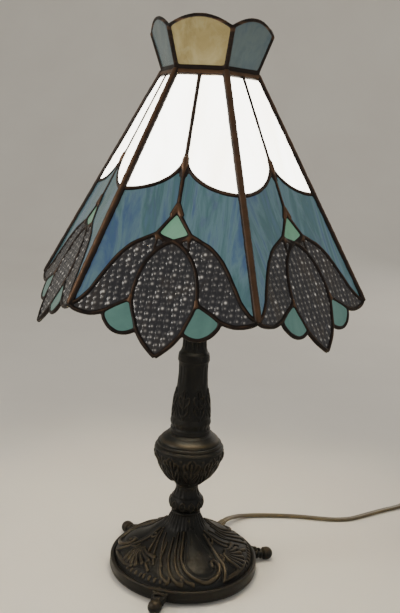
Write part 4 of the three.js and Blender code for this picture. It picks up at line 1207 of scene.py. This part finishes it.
def base_items():
    """Scrollwork of one of the three sectors, as plan strokes. +y runs out along the cartouche's axis."""
    items = [
        ([(-9, 21), (-14.5, 32), (-19, 43), (-19.6, 54), (-14.6, 64), (-3, 70.6), (8, 68.6), (15.5, 62.5),
          (17.4, 55.6), (13.8, 51), (9.6, 53), (10.4, 56.6)], 1.1, 2.0, 2.3),
        ([(-14, 19), (-21.5, 32), (-26, 44), (-27, 55), (-22.6, 64.5), (-15, 70)], 0.9, 1.7, 1.5),
        ([(-20, 20), (-29, 33), (-33.6, 45), (-34.5, 55), (-31, 63), (-26, 66.5), (-25.4, 62.8)], 0.9, 1.8,
         1.6),
        ([(-27, 20), (-37, 32), (-42, 44), (-43, 52), (-39, 59.4), (-36.4, 57)], 0.8, 1.7, 1.5),
        ([(12, 24), (17.5, 36), (20.6, 46), (22.6, 55), (21.6, 64), (18.6, 71)], 0.9, 2.1, 2.0),
        ([(22.6, 53), (26.6, 47.6), (24.6, 43)], 1.8, 1.0, 1.6),
        ([(18.6, 70.6), (25, 67.4), (33, 63), (40.5, 58), (47, 52), (51.5, 46)], 1.7, 1.5, 1.7),
        ([(14, 20), (20, 26), (19, 31.6), (15.4, 30.4), (16.6, 27.4)], 0.9, 1.2, 1.5),
        ([(20, 25.4), (31, 29.6), (41, 31.4), (52, 31), (60, 27)], 1.0, 1.6, 1.6),
        ([(17, 21), (30, 24), (42, 24.6), (54, 22.6)], 0.8, 1.4, 1.3),
        ([(21, 16.6), (34, 17.6), (46, 16.4), (56, 13.4)], 0.8, 1.3, 1.2),
    ]
    centre = np.array((27.5, 37.5))
    for k in range(7):
        a = math.radians(72 - k * 15.5)
        way = np.array((math.cos(a), math.sin(a)))
        bend = np.array((math.cos(a - 0.28), math.sin(a - 0.28)))
        reach = 24 - 0.5 * abs(k - 3)
        items.append(([tuple(centre + way * 4), tuple(centre + way * 12), tuple(centre + bend * reach)],
                      0.9, 2.5, 1.9))
    for k in range(7):
        a = math.radians(64.5 - k * 15.5)
        way = np.array((math.cos(a), math.sin(a)))
        items.append(([tuple(centre + way * 13), tuple(centre + way * 19)], 0.5, 0.9, 0.9))
    for k in range(5):
        a = math.radians(-34 - 5.2 * k)
        items.append(([(70.6 * math.sin(a), 70.6 * math.cos(a)), (71.2 * math.sin(a), 71.2 * math.cos(a))],
                      1.9, 1.9, 1.3))
    for k in range(4):
        a = math.radians(46 + 5.2 * k)
        items.append(([(71 * math.sin(a), 71 * math.cos(a)), (71.4 * math.sin(a), 71.4 * math.cos(a))], 1.8,
                      1.8, 1.2))
    return items


def cartouche(p):
    """Smooth raised drop inside the scroll."""
    a, b = np.array((-1.0, 50.5)), np.array((-1.5, 24.0))
    ab = b - a
    t = np.clip(((p - a) @ ab) / (ab @ ab), 0, 1)
    radius = 14.8 + (4.6 - 14.8) * t
    d = np.linalg.norm(p - (a + t[:, None] * ab), axis=1) / radius
    return 1.5 * np.clip(1 - d**2, 0, 1) ** 0.55 - 0.5 * np.exp(-((d - 1.08) / 0.07) ** 2)


def base_relief(theta, outer):
    local = (theta - FOOT_AT) % (TURN / 3) - CARTOUCHE_AT
    r = outer[:, :1]
    x, y = r * np.sin(local)[None, :], r * np.cos(local)[None, :]
    p = np.stack([x, y], -1).reshape(-1, 2)
    items = base_items()
    wrapped = []
    for turn in (-1, 0, 1):
        c, s = math.cos(turn * TURN / 3), math.sin(turn * TURN / 3)
        for line, start, end, lift in items:
            wrapped.append(([(c * u - s * v, s * u + c * v) for u, v in line], start, end, lift))
    field = raised(p, wrapped)
    field = np.where(field > 0.25, field, field + cartouche(p))
    field = field.reshape(x.shape)
    z = outer[:, 1][:, None]
    on_top = ramp_between(73.6 - r, 0, 1.6) * (z > 13)
    field = field * on_top * (1 - 0.85 * ramp_between(19.5 - r, 0, 4))
    ribs = 0.4 * np.cos(30 * theta)[None, :]
    ribs = ribs * ramp_between(24 - r, 0, 5) * (1 - ramp_between(z, 64.5, 66.5))
    return field + ribs + 0.7 * ridge(z, 66.9, 0.7) + 0.35 * ridge(z, 6.2, 0.8) * (r > 78)


def base_casting():
    outer = resampled(smooth_line(BASE_OUTER, 0.3), 0.62 * FINE)
    tangent = np.gradient(outer, axis=0)
    tangent /= np.linalg.norm(tangent, axis=1)[:, None]
    inner = outer[::4] - np.column_stack([tangent[:, 1], -tangent[:, 0]])[::4] * 4
    inner = inner[(inner[:, 1] < 57.5) & (inner[:, 0] > 13) & (inner[:, 0] < 75.2)]
    inner = inner[np.argsort(-inner[:, 1])]
    keep = [inner[0]]
    for q in inner[1:]:
        if q[1] < keep[-1][1] - 0.2 and q[0] > keep[-1][0] - 0.2:
            keep.append(q)
    hole = [(5.5, 68.2), (5.5, 58), (13.2, 58)] + [tuple(q) for q in keep] + [(75.2, 8), (75.2, 3.5)]
    lathe("base_body", outer, hole, int(720 / FINE), base_relief, "base_casting", 0.6, 0.22)


base_casting()


BALL_R = 7.15


def foot(index):
    """Scrolled foot that ends in a ball."""
    a = FOOT_AT + index * TURN / 3
    out, side = np.array((math.cos(a), math.sin(a))), np.array((-math.sin(a), math.cos(a)))

    def at(r, w, z):
        return (out[0] * r + side[0] * w, out[1] * r + side[1] * w, z)

    path = smooth_line([at(64, 0, 13.2), at(72, 0, 11.6), at(79, 0, 9.6), at(85, 0, 7.6), at(90, 0, 6.6)],
                       1.2)
    wide = np.interp(np.linspace(0, 1, len(path)), (0, .35, .62, .82, 1), (1.0, 1.0, .86, .72, .66))
    section = [(8.3 * math.cos(t), 4.5 * math.sin(t) * (1 + 0.12 * math.cos(6 * t)))
               for t in np.linspace(0, TURN, 28, endpoint=False)]
    parts = [swept(path, section, scale=wide)]
    centre = np.array(at(95.7, 0, 7.3))
    levels = np.clip(np.linspace(0, math.pi, 15), 0.01, math.pi - 0.01)
    parts.append(loft([[centre + BALL_R * np.array((math.sin(p) * math.cos(q), math.sin(p) * math.sin(q),
                                                    math.cos(p)))
                        for q in angles(22)] for p in levels]))
    for way in (1, -1):
        curl = smooth_line([at(70, way * 7.4, 14.4), at(78, way * 7.0, 12.8), at(84.5, way * 5.4, 10.6),
                            at(89, way * 3.4, 9.4),
                            at(90.4, way * 3.2, 6.6), at(87.6, way * 4.4, 5.4), at(85.8, way * 5.2, 7.4)],
                            1.0)
        parts.append(swept(curl, circle(1.7, 10), scale=np.linspace(1.1, 0.75, len(curl))))
    ring_line = [tuple(centre + 7.0 * np.array((-0.5 * out[0], -0.5 * out[1], 0)) + 6.1 * (
        np.array((side[0], side[1], 0)) * math.cos(t) + np.array((0, 0, 1)) * math.sin(t)))
        for t in np.linspace(0, TURN, 30)]
    parts.append(swept(ring_line, circle(0.9, 8)))
    for r, size, mid_z in ((83.4, 7.1, 9.0), (87.8, 6.2, 7.9)):
        collar = [at(r, size * math.cos(t), mid_z + 0.72 * size * math.sin(t))
                  for t in np.linspace(0, TURN, 30)]
        parts.append(swept(collar, circle(1.25, 10)))
    verts, faces = merged(parts)
    mesh = run_together(f"foot_{index}", verts, faces, 0.75, 4)
    co = co_of(mesh) / MM
    piece(f"scroll_foot_{index + 1}", mesh, MATERIAL["bronze"], ["base_casting"])
    # Lighter towards the top, with a painted highlight on the upper half of each ball.
    ball_d = np.linalg.norm(co - centre, axis=1)
    add_wear_and_highlight(mesh, np.clip(0.35 + 0.05 * (co[:, 2] - 7) + 0.25 * (ball_d < 7.6) * (co[:, 2] > 9), 0.1, 1))


for index in range(3):
    foot(index)


# ---------------------------------------------------------------- fittings

def plain(r, z, a):
    return r


def turned_piece(name, rows, material, node, body, radius_at=plain, turns=48, place=None, sharp=35):
    """Closed solid of revolution with flat ends; rows are (r, z) from one end to the other."""
    rings = []
    for r, z in rows:
        ring = [(a, radius_at(r, z, a)) for a in angles(turns)]
        rings.append([(q * math.cos(a), q * math.sin(a), z) for a, q in ring])
    mesh = closed_mesh(name, *loft(rings))
    if place is not None:
        mesh.transform(place)
    piece(name, mesh, material, [node], body)
    mesh.set_sharp_from_angle(angle=math.radians(sharp))


# Finial: turned brass knob with a beaded collar, on a bore for the stud.
finial_rows = profile_rows([(6.4, 521.6), (6.6, 522.4), (6.3, 523.4), (4.6, 524.6), (4.3, 526.2),
                            (5.2, 527.2), (5.3, 528), (4.9, 529), (6.2, 530.4), (7.7, 532.4), (7.9, 534.2),
                            (7.3, 536.8), (5.6, 539.4), (3.6, 541.2), (2.5, 542), (2.4, 542.8),
                            (2.7, 543.6), (2.1, 544.6), (0.3, 545)], 0.5)
rows = [(3.4, 537.0), (3.4, 521.5)] + [tuple(q) for q in finial_rows]
turned_piece("turned_finial", rows, MATERIAL["brass"], "finial", "finial", sharp=45)

BULB_ROWS = profile_rows([(12.6, 341.5), (13.0, 344.5), (14.2, 350), (17.2, 358), (21.6, 367), (26.2, 378),
                          (29.0, 389), (29.9, 399), (29.0, 409), (25.6, 418.6), (19.6, 425.6),
                          (11.5, 429.9), (4.0, 431.0), (0.2, 431.1)], 1.4)


def lit_bulb():
    s = Shader("bulb_glass")
    glow = s.noise(20, 2)
    colour = s.ramp(glow, [(0.3, srgb(255, 226, 176)), (0.7, srgb(255, 238, 204))])
    s.set(Base_Color=colour)
    s.set(Emission_Color=colour)
    s.set(Emission_Strength=5.0, Roughness=0.35)
    return s.material


rows = [(12.0, 341.5)] + [tuple(q) for q in BULB_ROWS]
turned_piece("lit_bulb", rows, lit_bulb(), "bulb_glass", "bulb")


def fluted(r, z, a):
    return r - 0.45 * (0.5 + 0.5 * math.cos(18 * a)) if 24.5 <= z <= 32.5 else r


def knob():
    """Turn knob of the switch, fluted round its rim, on a stem that points to the front."""
    place = Matrix.Translation((0, 0, 312.1 * MM)) @ Matrix.Rotation(math.radians(90), 4, "X")
    rows = [(2.4, 8.4), (2.4, 22.7), (3.6, 22.7), (4.4, 23.4), (5.3, 25.2), (5.45, 26.4), (5.3, 30.6),
            (5.0, 32.4), (4.3, 33.6), (3.2, 34.15), (0.05, 34.2)]
    dense = [rows[0]]
    for a, b in zip(rows[:-1], rows[1:]):
        steps = 4 if b[1] - a[1] > 1.5 else 1
        dense += [(a[0] + (b[0] - a[0]) * k / steps, a[1] + (b[1] - a[1]) * k / steps)
                  for k in range(1, steps + 1)]
    turned_piece("turn_knob", dense, MATERIAL["black"], "switch_knob", "knob", fluted, 72,
                 place, 40)


knob()


def restyle(node, material):
    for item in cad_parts[node].material_slots:
        item.material = material


for node, key in (
        ("lamp_pipe", "steel"), ("base_washer", "steel"), ("base_nut", "brass"), ("harp", "brass"),
        ("harp_stud", "brass"), ("harp_sleeve_left", "brass"), ("harp_sleeve_right", "brass"),
        ("harp_saddle", "brass"), ("socket_cap", "brass"), ("socket_shell", "brass"),
        ("socket_interior", "porcelain"), ("bulb_base", "aluminium"), ("shade_spider", "brass"),
        ("inner_lead", "cord")):
    restyle(node, MATERIAL[key])


# ---------------------------------------------------------------- floor and lights

def studio():
    """Pale floor that curves up behind, so there is no horizon."""
    line = [(-4.0, 0), (1.6, 0)] + [(1.6 + 1.2 * math.sin(t), 1.2 - 1.2 * math.cos(t))
                                    for t in np.linspace(0.1, math.pi / 2, 12)]
    line.append((2.8, 5.0))
    verts = [(x, y, z) for y, z in line for x in (-5.0, 5.0)]
    faces = [(2 * i, 2 * i + 1, 2 * i + 3, 2 * i + 2) for i in range(len(line) - 1)]
    s = Shader("floor")
    s.set(Base_Color=s.ramp(s.noise(3, 3), [(0.3, srgb(226, 221, 212)), (0.7, srgb(232, 228, 219))]))
    s.set(Roughness=0.75)
    link("floor", from_lists("floor", verts, faces), s.material)


studio()


def area_light(name, place, aim, size, power, colour):
    data = bpy.data.lights.new(name, "AREA")
    data.shape = "DISK"
    data.size = size
    data.energy = power
    data.color = colour
    obj = placed(name, data)
    obj.location = place
    obj.rotation_euler = (Vector(aim) - Vector(place)).to_track_quat("-Z", "Y").to_euler()


area_light("key", (-1.5, -0.9, 1.05), (0, 0, 0.25), 0.7, 14, (1.0, 0.95, 0.87))
area_light("fill", (1.5, -1.0, 0.7), (0, 0, 0.25), 1.2, 3.2, (0.92, 0.96, 1.0))
area_light("back", (0.6, 1.7, 0.8), (0, 0, 0.3), 1.1, 4, (1.0, 0.93, 0.84))
bulb_light = bpy.data.lights.new("bulb_light", "POINT")
bulb_light.energy = 3.0
bulb_light.color = (1.0, 0.82, 0.56)
bulb_light.shadow_soft_size = 0.031
placed("bulb_light", bulb_light).location = (0, 0, 0.478)
world = bpy.data.worlds.new("world")
world.use_nodes = True
world.node_tree.nodes["Background"].inputs["Color"].default_value = (0.86, 0.84, 0.80, 1)
world.node_tree.nodes["Background"].inputs["Strength"].default_value = 0.55
bpy.context.scene.world = world
